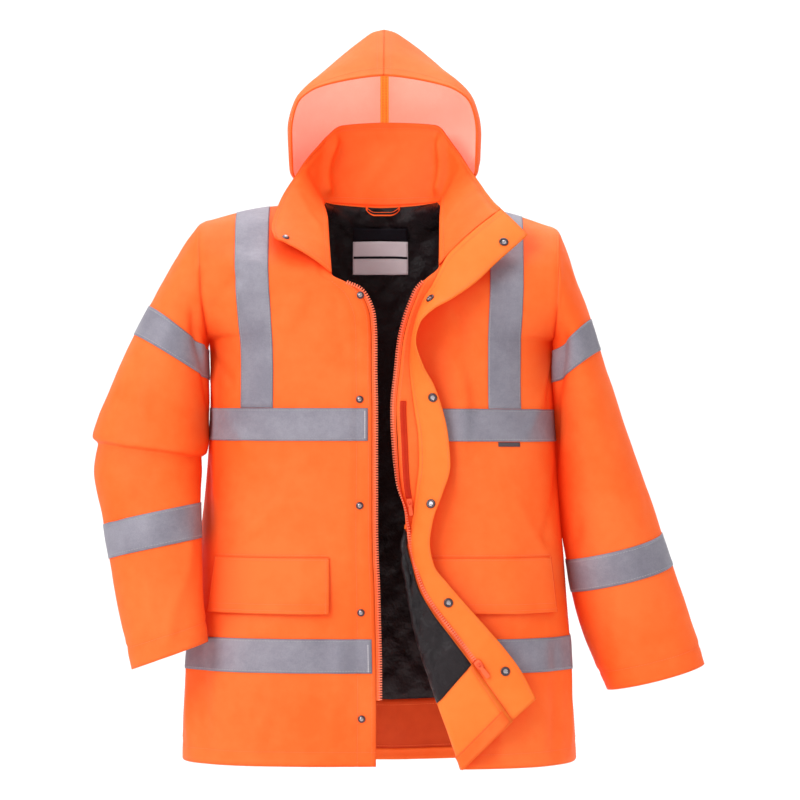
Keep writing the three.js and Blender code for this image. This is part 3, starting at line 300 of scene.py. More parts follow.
def back_row(row, c):
    """Columns 0 to 24 from the wearer's right side to the left; depth falls from the middle as the
    front's does."""
    body = BODY[row]
    d = np.abs(c - 12)
    side = np.where(c < 12, -1, 1)
    edge_x = np.where(c < 12, side_of(-1, row)[0], side_of(1, row)[0])
    edge_z = np.where(c < 12, side_of(-1, row)[1], side_of(1, row)[1])
    scale = np.abs(edge_x) / TIP_X
    near = np.where(c < 12, abs(NECK[3, 0]), abs(NECK[9, 0])) if row == TOP_ROW else NECK_X[3]
    x = np.where(d <= 3, np.interp(d, [0, 1, 2, 3], NECK_X), mix(near, BRACE_IN * scale, (d - 3) / 2))
    x = np.where(d > 5, mix(BRACE_IN, BRACE_OUT, (d - 5) / 2) * scale, x)
    x = np.where(d > 7, mix(BRACE_OUT * scale, np.abs(edge_x),
                            np.sin(np.clip((d - 7) / 5, 0, 1) * np.pi / 2)), x)
    x = side * x
    if row == TOP_ROW:
        neck = curve(NECK[3:10, :3], np.clip(c - 9, 0, 6))
        inner = np.where((c < 12)[:, None], NECK[3, :3], NECK[9, :3])
        w = np.clip((x - inner[:, 0]) / (edge_x - inner[:, 0]), 0, 1)
        y = mix(0, inner[:, 1], 1 - w ** body[POWER])
        seam = np.stack([x, y, mix(inner[:, 2], edge_z, w) + rise_at(row, w)], axis=-1)
        return np.where((d <= 3)[:, None], neck, seam)
    w = np.clip(np.abs(x / edge_x), 0, 1)
    y = mix(body[ARMHOLE] * 0.96, body[BACK], (1 - w ** body[POWER]) ** body[ROUND])
    z = mix(body[BACK_Z], edge_z, w * w) + rise_at(row, w)
    fold = np.where(w < 1, fold_depth(BACK_FOLDS, x, z), 0)
    return np.stack([x, y + fold, z], axis=-1)


def turned_row(row, t):
    """Half a circle of the roll's radius round the fold (t 0 to 1), then straight to the turned edge (t
    1 to 2)."""
    x, z, edge_x, edge_z, roll = LEFT_EDGE[row]
    way = np.array([edge_x - x, 0, edge_z - z])
    reach = np.linalg.norm(way)
    depth = -BODY[row, FRONT]
    if row == ROLL_ROW:
        return np.repeat(front_edge(1, row)[None], len(t), axis=0)
    way = way / reach
    angle = np.pi * (np.clip(t, 0, 1) - 0.5)
    out = roll * (1 - np.cos(angle))
    heading = np.where((angle < 0)[:, None], np.array([1.0, 0, 0]), way)
    roll_part = np.stack([np.full(len(t), x), depth - roll * (1 + np.sin(angle)), np.full(len(t), z)],
                         axis=-1)
    roll_part = roll_part + heading * out[:, None]
    far = np.clip(t - 1, 0, 1)
    lift = (2 * roll + 4 * far) * min(1, reach / 40)
    flat = np.array([x, 0, z]) + way * mix(roll, reach, far)[:, None]
    flat[:, 1] = depth - mix(2 * roll, lift, smooth(far * 3))
    return np.where((t <= 1)[:, None], roll_part, flat)


def armhole_ring(side, s):
    """The armhole, counted 0 to 14 from under the arm, up the front, over the shoulder and down the
    back."""
    rows = np.where(s <= 7, ARMPIT_ROW + s, 27 - s)
    table = np.array([[side_of(side, r)[0], -BODY[r, ARMHOLE], side_of(side, r)[1]] for r in range(13, 21)])
    p = curve(table, rows - ARMPIT_ROW)
    p[:, 1] *= np.where(s <= 7, 1, -0.96)
    return p


def sleeve_ring(side, ring, s):
    """An ellipse between the outer and inner point, whose height dips on the way by the power bend."""
    out_x, out_z, in_x, in_z, depth, y, bend = ring
    angle = np.pi * (1 - s / 7)
    share = (1 - np.cos(angle)) / 2
    x = side * mix(out_x, in_x, share)
    z = mix(out_z, in_z, share ** bend)
    return np.stack([x, y - depth * np.sin(angle), z], axis=-1)


# rows and columns that each panel runs over; the left front's columns below 0 are its turned strip
REACH = {
    "back": (0, 20, 0, 24), "front_right": (0, 20, 0, 11), "front_left": (0, 20, -2, 11),
    "sleeve_right": (0, 13, 0, 14), "sleeve_left": (0, 11, 0, 14), "collar": (0, 1, 0, 12),
    "hood": (0, 1, 0, 2), "storm_flap": (0, 21, 0, 1)}
# panels whose grid runs the other way round, so that every normal points to the cloth's outer side
FLIP = {"front_right", "back", "sleeve_left", "hood", "storm_flap"}


def surface(name, v, u):
    """Points of a named panel at rows v and columns u: the panel's own curves at whole rows, joined by
    smooth ones."""
    u = np.asarray(u, float)
    if name == "front_right":
        rows = [front_row(-1, r, u) for r in range(TOP_ROW + 1)]
    elif name == "front_left":
        rows = [front_row(1, r, np.maximum(u, 0)) for r in range(TOP_ROW + 1)]
        for r in range(ROLL_ROW + 1):
            rows[r] = np.where((u < 0)[:, None], turned_row(r, np.maximum(-u, 0)), rows[r])
    elif name == "back":
        rows = [back_row(r, u) for r in range(TOP_ROW + 1)]
    elif name == "sleeve_right":
        rows = [armhole_ring(-1, u)] + [sleeve_ring(-1, ring, u) for ring in RIGHT_SLEEVE]
    elif name == "sleeve_left":
        rows = [armhole_ring(1, u)] + [sleeve_ring(1, ring, u) for ring in LEFT_SLEEVE]
    elif name == "collar":
        seam = curve(NECK, u)
        lift = SHELL / 2 + LAYER + COLLAR_WALL / 2 + 0.3
        root = seam[:, :3] + unit(seam[:, 6:]) * lift
        share = np.asarray(v, float)[:, None, None]
        p = mix(root[None], seam[None, :, 3:6], share)
        return p + unit(seam[:, 6:])[None] * 7 * np.sin(np.pi * share)
    elif name == "storm_flap":
        rows = curve(STORM_FLAP, v)
        t = u[None, :, None]
        p = mix(rows[:, None, :3], rows[:, None, 3:], t)
        away = np.array([0, -1.0, 0.15])
        return p + away * 3.0 * np.sin(np.pi * t) * smooth(t * 4)
    elif name == "hood":
        across = u - 1
        place = np.sin((1 - np.abs(across)) * np.pi / 2)
        sections = curve(HOOD, place, HOOD_PLACE)
        p = curve(np.swapaxes(sections, 0, 1), np.asarray(v, float) * 6)
        sign = np.where(u < 1, -1, 1)[None]
        crown = np.clip((p[..., 2] - CROWN_FOOT) / (CROWN_FULL - CROWN_FOOT), 0, 1) ** CROWN_POWER
        rise = crown * (CROWN_RISE - CROWN_DIP * np.exp(-(p[..., 0] / DIP_WIDTH) ** 2))
        height = np.minimum(p[..., 2] + rise, HOOD_TOP)
        return np.stack([HOOD_MIDDLE + sign * p[..., 0], p[..., 1], height], axis=-1)
    return curve(np.array(rows), np.asarray(v, float))


# creases
CREASE_GAIN = 1.6
# Each crease runs between two places of a panel's rows and columns: v0 u0 v1 u1, half width in mm, depth in
# mm. A trough has a negative depth.
CREASES = {
    "front_right": [
        (12.2, 10.6, 9.6, 5.0, 11, 3.2), (13.0, 10.4, 11.6, 6.4, 8, -2.6), (12.4, 9.0, 8.6, 8.6, 9, 2.2),
        (9.6, 10.4, 7.4, 8.0, 12, -2.4), (5.0, 9.6, 0.3, 9.0, 13, 3.4), (4.6, 8.0, 0.0, 7.0, 14, -3.0),
        (5.2, 1.0, 0.0, 1.6, 15, 2.6), (16.4, 1.6, 13.6, 3.4, 12, 2.4), (15.6, 0.6, 12.0, 1.0, 10, -2.0),
        (8.8, 3.0, 7.2, 6.4, 11, 2.0), (2.4, 3.4, 0.2, 4.2, 12, 2.4), (17.0, 5.4, 15.2, 8.8, 10, -2.0),
    ],
    "front_left": [
        (13.0, 10.5, 10.0, 6.0, 11, 3.2), (12.6, 10.2, 11.0, 8.4, 8, -2.6), (12.8, 3.0, 8.4, 2.2, 12, 2.8),
        (15.2, 2.0, 10.6, 3.6, 12, -2.6), (9.4, 10.2, 7.2, 7.4, 12, -2.4), (4.8, 9.8, 0.2, 9.2, 12, 3.2),
        (4.4, 8.2, 0.0, 7.2, 13, -3.0), (3.0, 2.4, 0.2, 4.4, 13, 2.6), (8.6, 5.0, 7.0, 8.0, 10, 2.0),
    ],
    "back": [
        (12.6, 1.4, 9.0, 6.0, 13, 3.6), (12.8, 22.6, 9.4, 17.6, 13, 3.6), (11.8, 1.0, 10.4, 5.0, 9, -2.8),
        (11.6, 23.0, 10.2, 19.0, 9, -2.8), (8.6, 9.0, 6.4, 16.0, 16, 3.0), (7.0, 4.0, 0.2, 4.6, 16, 3.6),
        (6.4, 20.0, 0.2, 19.2, 16, 3.4), (5.6, 12.0, 0.0, 12.6, 15, -3.0), (18.6, 7.0, 15.0, 9.4, 14, 2.6),
        (18.4, 17.0, 15.2, 14.4, 14, 2.6), (9.4, 13.0, 4.0, 9.0, 14, -2.6),
    ],
    "sleeve_right": [
        (1.0, 5.5, 4.2, 1.2, 10, 3.6), (1.4, 3.4, 5.2, 0.4, 8, -3.2), (3.0, 6.2, 6.6, 3.6, 11, 3.0),
        (5.2, 5.6, 7.2, 2.0, 8, -4.0), (5.8, 1.6, 6.8, 5.0, 7, 3.6), (7.6, 1.0, 8.6, 4.6, 7, -3.4),
        (8.4, 0.6, 9.4, 3.4, 8, 3.4), (8.8, 3.2, 10.4, 5.6, 9, -2.6), (10.6, 1.4, 13.0, 3.4, 10, 2.6),
        (1.2, 9.0, 5.0, 12.6, 10, 3.4), (4.6, 8.6, 7.0, 11.8, 9, -3.4), (7.8, 9.0, 9.4, 12.8, 8, 3.2),
        (9.6, 8.6, 12.6, 10.8, 10, -2.4),
    ],
    "sleeve_left": [
        (0.8, 5.4, 4.6, 0.8, 10, 3.4), (1.6, 3.2, 6.0, 0.2, 9, -3.0), (3.0, 6.0, 7.0, 2.6, 11, 2.8),
        (5.4, 4.8, 8.4, 1.0, 9, -2.8), (7.0, 5.4, 10.4, 2.2, 11, 2.6), (8.6, 1.2, 10.8, 4.2, 9, -2.2),
        (1.2, 9.0, 5.2, 12.8, 10, 3.2), (4.6, 8.6, 8.0, 12.0, 10, -2.8), (7.4, 8.8, 10.6, 11.4, 10, 2.6),
    ],
    "hood": [
        (0.10, 0.30, 0.42, 0.52, 12, 2.4), (0.14, 1.70, 0.46, 1.50, 12, 2.4),
        (0.5, 0.55, 0.86, 0.78, 12, -2.0),
        (0.5, 1.45, 0.84, 1.2, 12, -2.0),
    ],
    "collar": [
        (0.1, 1.2, 0.9, 2.4, 7, 1.6), (0.02, 4.3, 0.95, 4.7, 10, 8.0), (0.02, 7.7, 0.95, 7.3, 10, 8.0),
        (0.05, 10.4, 0.9, 9.6, 8, 1.8), (0.1, 5.4, 0.7, 6.2, 10, 1.4),
    ],
}


def crease_height(name, p, spot):
    """Soft ridges and troughs: a bell across each crease's line, which fades at its ends, bent a little
    by noise."""
    total = np.zeros(p.shape[:2])
    wander = noise(p, 60, 5)[..., None] * 7
    q = p + wander
    for v0, u0, v1, u1, width, depth in CREASES.get(name, ()):
        a, b = spot(v0, u0), spot(v1, u1)
        way = b - a
        reach = np.linalg.norm(way)
        t = np.clip(((q - a) @ way) / reach ** 2, 0, 1)
        away = np.linalg.norm(q - (a + t[..., None] * way), axis=-1)
        total += CREASE_GAIN * depth * np.exp(-(away / width) ** 2) * smooth(np.minimum(t, 1 - t) * 4
                                                                             + 0.15)
    return total


def edge_fade(name, v, u):
    """1 inside a panel, 0 at the seams it shares with another panel."""
    v, u = np.asarray(v, float)[:, None], np.asarray(u, float)[None]
    if name.startswith("front"):
        at_neck = np.where(v > NECK_ROW - 1, smooth(u / 0.5), 1)
        return smooth((11 - u) / 1.2) * smooth((TOP_ROW - v) / 1.0) * at_neck
    if name == "back":
        return smooth(np.minimum(u, 24 - u) / 1.2) * smooth((TOP_ROW - v) / 1.0)
    if name.startswith("sleeve"):
        return smooth(v / 1.0) * np.ones_like(u)
    if name == "hood":
        return smooth(v / 0.08) * smooth((1 - v) / 0.06) * smooth(np.minimum(u, 2 - u) / 0.05)
    if name == "collar":
        return smooth(v / 0.2) * np.ones_like(u)
    return np.ones((v.shape[0], u.shape[1]))


# rows or columns where a seam line sinks in
SEAMS = {
    "front_right": {"u": [11, 0.62], "v": [20, 0.36]},
    "front_left": {"u": [11], "v": [20, 0.36]},
    "back": {"u": [0, 24], "v": [20, 0.36]},
    "sleeve_right": {"v": [0, 12.62]},
    "sleeve_left": {"v": [0, 10.66]},
    "collar": {"v": [0.93]},
}
WRINKLE = {
    "front_right": 1.0, "front_left": 1.0, "back": 1.0, "sleeve_right": 1.2,
    "sleeve_left": 1.2, "hood": 0.8, "collar": 0.7, "storm_flap": 0.6}


def draped(name, v, u, closed=False):
    """A panel's points moved along its normals by creases and fine unevenness, and the normals there."""
    v, u = np.asarray(v, float), np.asarray(u, float)
    p = surface(name, v, u)
    v_low, v_high, u_low, u_high = REACH[name]
    sv, su = (v_high - v_low) * 1e-3, (u_high - u_low) * 1e-3
    up, down = np.minimum(v + sv, v_high), np.maximum(v - sv, v_low)
    if closed:
        ahead, behind = (u + su) % u_high, (u - su) % u_high
    else:
        ahead, behind = np.minimum(u + su, u_high), np.maximum(u - su, u_low)
    dv = surface(name, up, u) - surface(name, down, u)
    du = surface(name, v, ahead) - surface(name, v, behind)
    n = unit(np.cross(du, dv))
    if name in FLIP:
        n = -n

    def spot(a, b):
        return surface(name, np.array([a]), np.array([b]))[0, 0]

    rough = noise(p, 46, 11) * 0.8 + noise(p, 21, 12) * 0.35 + noise(p, 95, 13) * 1.5
    height = crease_height(name, p, spot) + WRINKLE[name] * rough
    return p + n * (height * edge_fade(name, v, u))[..., None], n


# meshes
def make_object(name, verts, faces, uv=None, smooth_faces=True):
    mesh = bpy.data.meshes.new(name)
    faces = np.asarray(faces, np.int32)
    sides = faces.shape[1]
    mesh.vertices.add(len(verts))
    mesh.vertices.foreach_set("co", (np.asarray(verts, np.float32) / 1000).ravel())
    mesh.loops.add(faces.size)
    mesh.loops.foreach_set("vertex_index", faces.ravel())
    mesh.polygons.add(len(faces))
    mesh.polygons.foreach_set("loop_start", np.arange(0, faces.size, sides, dtype=np.int32))
    mesh.polygons.foreach_set("use_smooth", np.full(len(faces), smooth_faces))
    if uv is not None:
        layer = mesh.uv_layers.new(name="UVMap")
        layer.data.foreach_set("uv", (np.asarray(uv, np.float32) / 1000).ravel())
    mesh.update(calc_edges=True)
    mesh.validate()
    obj = bpy.data.objects.new(name, mesh)
    bpy.context.scene.collection.objects.link(obj)
    return obj


def lengths(p):
    """Distances along rows and columns in mm, averaged over the grid, for the UV map."""
    du = np.linalg.norm(np.diff(p, axis=1), axis=-1).mean(axis=0)
    dv = np.linalg.norm(np.diff(p, axis=0), axis=-1).mean(axis=1)
    u = np.concatenate([[0], np.cumsum(du)])
    v = np.concatenate([[0], np.cumsum(dv)])
    return np.stack(np.meshgrid(u, v), axis=-1)


def shell(name, p, n, low, high, closed=False, keep=None, lined=False):
    """A closed wall between two distances along the normals: outer grid, inner grid, and a rim along
    each open edge. keep says which cells are there, and lined gives the inner grid a material of its
    own."""
    rows, cols = p.shape[:2]
    size = rows * cols
    low = np.broadcast_to(np.asarray(low, float), (rows, cols))[..., None]
    high = np.broadcast_to(np.asarray(high, float), (rows, cols))[..., None]
    ids = np.arange(size).reshape(rows, cols)
    cells = np.stack([ids[:-1, :-1], ids[:-1, 1:], ids[1:, 1:], ids[1:, :-1]], axis=-1)
    facing = np.cross(p[:-1, 1:] - p[:-1, :-1], p[1:, :-1] - p[:-1, :-1])
    if (facing * n[:-1, :-1]).sum() < 0:
        cells = cells[..., ::-1]
    cells = cells.reshape(-1, 4) if keep is None else cells[keep]

    def wrapped(faces):
        """A tube's last column is its first."""
        return np.where(faces % cols == cols - 1, faces - (cols - 1), faces) if closed else faces

    start, end = cells, np.roll(cells, -1, axis=1)
    a, b = wrapped(start).ravel(), wrapped(end).ravel()
    edges = np.minimum(a, b) * size + np.maximum(a, b)
    _, where, times = np.unique(edges, return_index=True, return_counts=True)
    open_edge = where[times == 1]
    a, b = start.ravel()[open_edge], end.ravel()[open_edge]
    rims = np.stack([b, a, a + size, b + size], axis=1)
    faces = np.concatenate([cells, cells[:, ::-1] + size, rims])
    uv = np.concatenate([lengths(p).reshape(-1, 2)] * 2)[faces].reshape(-1, 2)
    verts = np.concatenate([(p + n * high).reshape(-1, 3), (p + n * low).reshape(-1, 3)])
    used, faces = np.unique(wrapped(faces), return_inverse=True)
    obj = make_object(name, verts[used], faces.reshape(-1, 4), uv)
    if lined:
        inner = np.zeros(len(obj.data.polygons), np.int32)
        inner[len(cells):2 * len(cells)] = 1
        obj.data.polygons.foreach_set("material_index", inner)
    return obj


def merge(obj):
    bm = bmesh.new()
    bm.from_mesh(obj.data)
    bmesh.ops.remove_doubles(bm, verts=bm.verts, dist=2e-5)
    bm.to_mesh(obj.data)
    bm.free()


def linear(code):
    """A six digit sRGB colour as linear numbers."""
    rgb = [int(code[i:i + 2], 16) / 255 for i in (0, 2, 4)]
    return [c / 12.92 if c <= 0.04045 else ((c + 0.055) / 1.055) ** 2.4 for c in rgb] + [1.0]


# shader groups
def group(name, inputs, outputs):
    """A node group with named inputs (kind, default) and outputs (kind), its two end nodes, and a maker
    of nodes."""
    tree = bpy.data.node_groups.new(name, "ShaderNodeTree")
    kinds = {"f": "NodeSocketFloat", "c": "NodeSocketColor", "v": "NodeSocketVector"}
    for label, kind, default in inputs:
        socket = tree.interface.new_socket(label, in_out="INPUT", socket_type=kinds[kind])
        if default is not None:
            socket.default_value = default
    for label, kind in outputs:
        tree.interface.new_socket(label, in_out="OUTPUT", socket_type=kinds[kind])
    return tree, tree.nodes.new("NodeGroupInput"), tree.nodes.new("NodeGroupOutput")


def add(tree, kind, links=(), **settings):
    """A node of that kind with its settings; links are (input, value or socket)."""
    node = tree.nodes.new(kind)
    for key, value in settings.items():
        setattr(node, key, value)
    for key, value in links:
        if isinstance(value, bpy.types.NodeSocket):
            tree.links.new(value, node.inputs[key])
        else:
            node.inputs[key].default_value = value
    return node


def maths(tree, operation, *values):
    return add(tree, "ShaderNodeMath", list(enumerate(values)), operation=operation).outputs[0]


def blend(tree, factor, a, b, mode="MIX"):
    node = tree.nodes.new("ShaderNodeMix")
    node.data_type = "RGBA"
    node.blend_type = mode
    for socket, value in ((node.inputs[0], factor), (node.inputs[6], a), (node.inputs[7], b)):
        if isinstance(value, bpy.types.NodeSocket):
            tree.links.new(value, socket)
        else:
            socket.default_value = value
    return node.outputs[2]


def weave_group():
    """Plain weave on the piece's own UV: warp and weft threads as crossed sine ridges that take turns on
    top."""
    tree, given, out = group("weave", [("Pitch", "f", 0.001)], [("Height", "f"), ("Thread", "f")])
    uv = add(tree, "ShaderNodeUVMap", uv_map="UVMap")
    parts = add(tree, "ShaderNodeSeparateXYZ", [(0, uv.outputs[0])])
    ridges = []
    for axis in (0, 1):
        turns = maths(tree, "DIVIDE", parts.outputs[axis], given.outputs["Pitch"])
        ridges.append(maths(tree, "SINE", maths(tree, "MULTIPLY", turns, math.pi)))
    over = maths(tree, "MULTIPLY", ridges[0], ridges[1])
    low = maths(tree, "ABSOLUTE", over)
    tree.links.new(low, out.inputs["Height"])
    tree.links.new(maths(tree, "MULTIPLY_ADD", over, 0.5, 0.5), out.inputs["Thread"])
    return tree


def tone_group():
    """Uneven dye and soft handling marks: two sizes of noise on Object coordinates, as one mask."""
    tree, given, out = group("tone", [("Broad", "f", 6.0), ("Fine", "f", 60.0)],
                             [("Mask", "f"), ("Height", "f")])
    place = add(tree, "ShaderNodeTexCoord").outputs["Object"]
    broad = add(tree, "ShaderNodeTexNoise",
                [("Vector", place), ("Scale", given.outputs["Broad"]), ("Detail", 3.0)])
    fine = add(tree, "ShaderNodeTexNoise",
               [("Vector", place), ("Scale", given.outputs["Fine"]), ("Detail", 5.0)])
    tree.links.new(maths(tree, "MULTIPLY_ADD", broad.outputs[0], 0.75,
                         maths(tree, "MULTIPLY", fine.outputs[0], 0.25)),
                   out.inputs["Mask"])
    tree.links.new(fine.outputs[0], out.inputs["Height"])
    return tree


def beads_group():
    """Tiny glass beads: cells of a Voronoi pattern on the UV, and a grain from each cell's colour."""
    tree, given, out = group("beads", [("Scale", "f", 900.0)], [("Height", "f"), ("Grain", "f")])
    uv = add(tree, "ShaderNodeUVMap", uv_map="UVMap").outputs[0]
    cells = add(tree, "ShaderNodeTexVoronoi", [("Vector", uv), ("Scale", given.outputs["Scale"])])
    tree.links.new(cells.outputs["Distance"], out.inputs["Height"])
    tree.links.new(add(tree, "ShaderNodeSeparateColor", [(0, cells.outputs["Color"])]).outputs[0],
                   out.inputs["Grain"])
    return tree


WEAVE, TONE, BEADS = weave_group(), tone_group(), beads_group()


def place_group(tree, which, **values):
    node = tree.nodes.new("ShaderNodeGroup")
    node.node_tree = which
    for key, value in values.items():
        node.inputs[key].default_value = value
    return node


def material(name, roughness=0.6, metallic=0.0, specular=0.4):
    mat = bpy.data.materials.new(name)
    mat.use_nodes = True
    tree = mat.node_tree
    shader = tree.nodes["Principled BSDF"]
    shader.inputs["Roughness"].default_value = roughness
    shader.inputs["Metallic"].default_value = metallic
    shader.inputs["Specular IOR Level"].default_value = specular
    return mat, tree, shader


def bump(tree, shader, height, strength, distance, below=None):
    links = [("Height", height), ("Strength", strength), ("Distance", distance)]
    if below is not None:
        links.append(("Normal", below.outputs[0]))
    node = add(tree, "ShaderNodeBump", links)
    tree.links.new(node.outputs[0], shader.inputs["Normal"])
    return node


# metres within which other cloth darkens glowing cloth with painted shade
PAINTED_SHADE_REACH = 0.09


def cloth_material(name, light, dark, pitch=0.0011, roughness=0.62, painted_glow=0.0, tint="FF3A08", strength=0.35,
                   specular=0.25, painted_shade_tint="E02000", crumple=0.25, crumple_depth=0.0012):
    """Woven cloth: two tones mixed by uneven dye, a little darker between threads, with weave and slub in
    the bump.
    Glowing cloth has a painted glow of its own and painted shade: where other cloth lies within the reach
    set above, its colour turns to the painted shade tint and its painted glow fades."""
    mat, tree, shader = material(name, roughness=roughness, specular=specular)
    tone = place_group(tree, TONE)
    weave = place_group(tree, WEAVE, Pitch=pitch)
    steady = add(tree, "ShaderNodeMapRange", [(0, tone.outputs["Mask"]), (1, 0.38), (2, 0.62)]).outputs[0]
    colour = blend(tree, steady, linear(dark), linear(light))
    gaps = maths(tree, "MULTIPLY_ADD", weave.outputs["Height"], 0.16, 0.84)
    shade = add(tree, "ShaderNodeCombineColor", [(0, gaps), (1, gaps), (2, gaps)]).outputs[0]
    colour = blend(tree, 1.0, colour, shade, "MULTIPLY")
    # painted glow, with painted shade where other cloth is near: the colour turns to the shade tint and the
    # glow fades there
    if painted_glow:
        near = add(tree, "ShaderNodeAmbientOcclusion", [("Distance", PAINTED_SHADE_REACH)], samples=2)
        open_share = add(tree, "ShaderNodeMapRange",
                         [(0, near.outputs["AO"]), (1, 0.3), (2, 0.88)]).outputs[0]
        colour = blend(tree, maths(tree, "MULTIPLY_ADD", open_share, 0.7, 0.3), linear(painted_shade_tint), colour)
        shader.inputs["Emission Color"].default_value = linear(tint)
        tree.links.new(maths(tree, "MULTIPLY_ADD", open_share, painted_glow * 0.7, painted_glow * 0.3),
                       shader.inputs["Emission Strength"])
    tree.links.new(colour, shader.inputs["Base Color"])
    first = bump(tree, shader, tone.outputs["Height"], crumple, crumple_depth)
    bump(tree, shader, weave.outputs["Height"], strength, 0.00035, first)
    return mat


# the fluorescent cloths are given a painted glow, a steady red of their own, so their shadows turn red
# instead of grey
orange = cloth_material("orange coated cloth", "FF8038", "FF7026", painted_glow=0.32)
inner_orange = cloth_material("inner face of orange cloth", "FF8C3A", "FF802E", painted_glow=0.28, tint="FF560C",
                              pitch=0.0009)
# painted shade: a darker copy of the orange cloth for the inside of the hem, which lies in shadow
painted_shade_orange = cloth_material("orange coated cloth inside the hem in painted shade", "F05C26", "DC4C1C", painted_glow=0.14)
# the hood's pale inside, brightened further by a painted glow, with painted shade near other cloth
hood_inside = cloth_material("pale inside of the hood", "FFEAE2", "FFDACE", painted_glow=0.48, tint="FFB29E",
                             pitch=0.0009,
                             painted_shade_tint="FF9880")
seam_tape = cloth_material("seam tape", "FFC464", "FFB450", painted_glow=0.42, tint="FFA038", pitch=0.0009,
                           painted_shade_tint="FFA640")
black_lining = cloth_material("black quilted lining", "241A1F", "150E12", pitch=0.0006, roughness=0.42,
                              specular=0.35,
                              crumple=1.0, crumple_depth=0.0052)
black_label = cloth_material("black woven label", "1E1A26", "15121C", pitch=0.0007, roughness=0.7)
dark_tab = cloth_material("dark woven tab", "645C62", "564E54", pitch=0.0007, roughness=0.7)
# painted light: a pale glow brightens the label where it hangs in the shade of the neck
grey_label = cloth_material("grey printed label", "F6EEF0", "E6DCE0", pitch=0.0008, roughness=0.6,
                            painted_glow=0.12, tint="FFE4EC",
                            painted_shade_tint="B8A8AC")
thread = cloth_material("orange thread", "FF9A5C", "FF8A4C", pitch=0.0008, painted_glow=0.3)
grey_thread = cloth_material("grey thread", "C8C4CC", "B4B0B8", pitch=0.0008)
pale_thread = cloth_material("pale thread", "F6F0F2", "E8E0E6", pitch=0.0008)
teeth = cloth_material("orange zip teeth", "FFA07C", "FF8C68", pitch=0.002, roughness=0.4, painted_glow=0.3,
                       strength=0.05)
zip_cloth = cloth_material("zip tape", "FF8448", "FF7438", pitch=0.0012, painted_glow=0.32, strength=0.6)
# painted shade: the pocket zip is drawn dark red where it lies in the shadow of its slot
painted_shade_zip_cloth = cloth_material("zip tape with painted slot shade", "E23A10", "C82C08", pitch=0.0012, painted_glow=0.08)
slider_finish = cloth_material("orange lacquered slider", "FF8456", "FF7444", pitch=0.004, roughness=0.35,
                               painted_glow=0.25,
                               strength=0.02)


def tape_material():
    """Grey reflective tape: a bead layer with fine grain, and uneven grey from handling."""
    mat, tree, shader = material("reflective tape", roughness=0.55, specular=0.4, metallic=0.1)
    beads = place_group(tree, BEADS)
    tone = place_group(tree, TONE, Broad=14.0, Fine=120.0)
    steady = add(tree, "ShaderNodeMapRange", [(0, tone.outputs["Mask"]), (1, 0.36), (2, 0.64)]).outputs[0]
    colour = blend(tree, steady, linear("8C8895"), linear("A29EAA"))
    grain = maths(tree, "MULTIPLY_ADD", beads.outputs["Grain"], 0.12, 0.9)
    shade = add(tree, "ShaderNodeCombineColor", [(0, grain), (1, grain), (2, grain)]).outputs[0]
    tree.links.new(blend(tree, 1.0, colour, shade, "MULTIPLY"), shader.inputs["Base Color"])
    first = bump(tree, shader, tone.outputs["Height"], 0.3, 0.0015)
    bump(tree, shader, beads.outputs["Height"], 0.25, 0.0003, first)
    return mat


def metal_material(name, light, dark, roughness):
    """Plated metal: fine speckle in colour and roughness, worn paler where it is handled."""
    mat, tree, shader = material(name, metallic=1.0)
    tone = place_group(tree, TONE, Broad=300.0, Fine=1800.0)
    tree.links.new(blend(tree, tone.outputs["Mask"], linear(dark), linear(light)),
                   shader.inputs["Base Color"])
    tree.links.new(maths(tree, "MULTIPLY_ADD", tone.outputs["Mask"], 0.25, roughness),
                   shader.inputs["Roughness"])
    bump(tree, shader, tone.outputs["Height"], 0.15, 0.0002)
    return mat


tape = tape_material()
gunmetal = metal_material("gunmetal", "746A70", "40363C", 0.24)
# painted highlight: a paler copy of the plated metal for the centres of studs and sockets
painted_highlight_metal = metal_material("stud centre with painted highlight", "D8D0D4", "A8A0A4", 0.16)

# pieces
HALF, COLLAR_HALF = SHELL / 2, COLLAR_WALL / 2
TAPE_LOW, TAPE_HIGH = HALF + LAYER, HALF + LAYER + TAPE
drawn = {}


def steps(low, high, count):
    return np.linspace(low, high, count)


def seam_grooves(name, p, n, v, u):
    """Where panels are sewn together the cloth sinks a millimetre, with a low ridge beside it."""
    deep = np.zeros(p.shape[:2])
    for kind, places in SEAMS.get(name, {}).items():
        for place in places:
            at = np.array([float(place)])
            seam = surface(name, v, at) if kind == "u" else surface(name, at, u)
            away = np.linalg.norm(p - seam, axis=-1)
            deep += np.exp(-(away / 3.5) ** 2) - np.exp(-((away - 9) / 5) ** 2) * 0.5
    return p - n * deep[..., None]


def panel(name, v, u, closed=False):
    """A panel's draped middle surface, with its seams sunk in, and its outward normals."""
    p, n = draped(name, v, u, closed)
    p = seam_grooves(name, p, n, v, u)
    outward = normals_of(p, closed)
    return p, -outward if name in FLIP else outward


def finish_piece(obj, finishes, slot, nodes=()):
    """Materials, body and the CAD nodes it stands for. The slot is not used."""
    for finish in finishes if isinstance(finishes, tuple) else (finishes,):
        obj.data.materials.append(finish)
    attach(obj, "jacket")
    if nodes:
        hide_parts(*nodes)
    return obj


def cloth(name, grid, low, high, finishes, slot, nodes, closed=False, keep=None, lined=False):
    return finish_piece(shell(name, *grid, low, high, closed, keep, lined), finishes, slot, nodes)


def main_panel(name, v, u, finishes, node, closed=False, low=-HALF, high=HALF, slot="shell_cloth",
               keep=None):
    grid = panel(name, v, u, closed)
    drawn[name] = (*grid, v, u)
    return cloth(f"{name}_cloth", grid, low, high, finishes, slot, [node], closed, keep, lined=True)


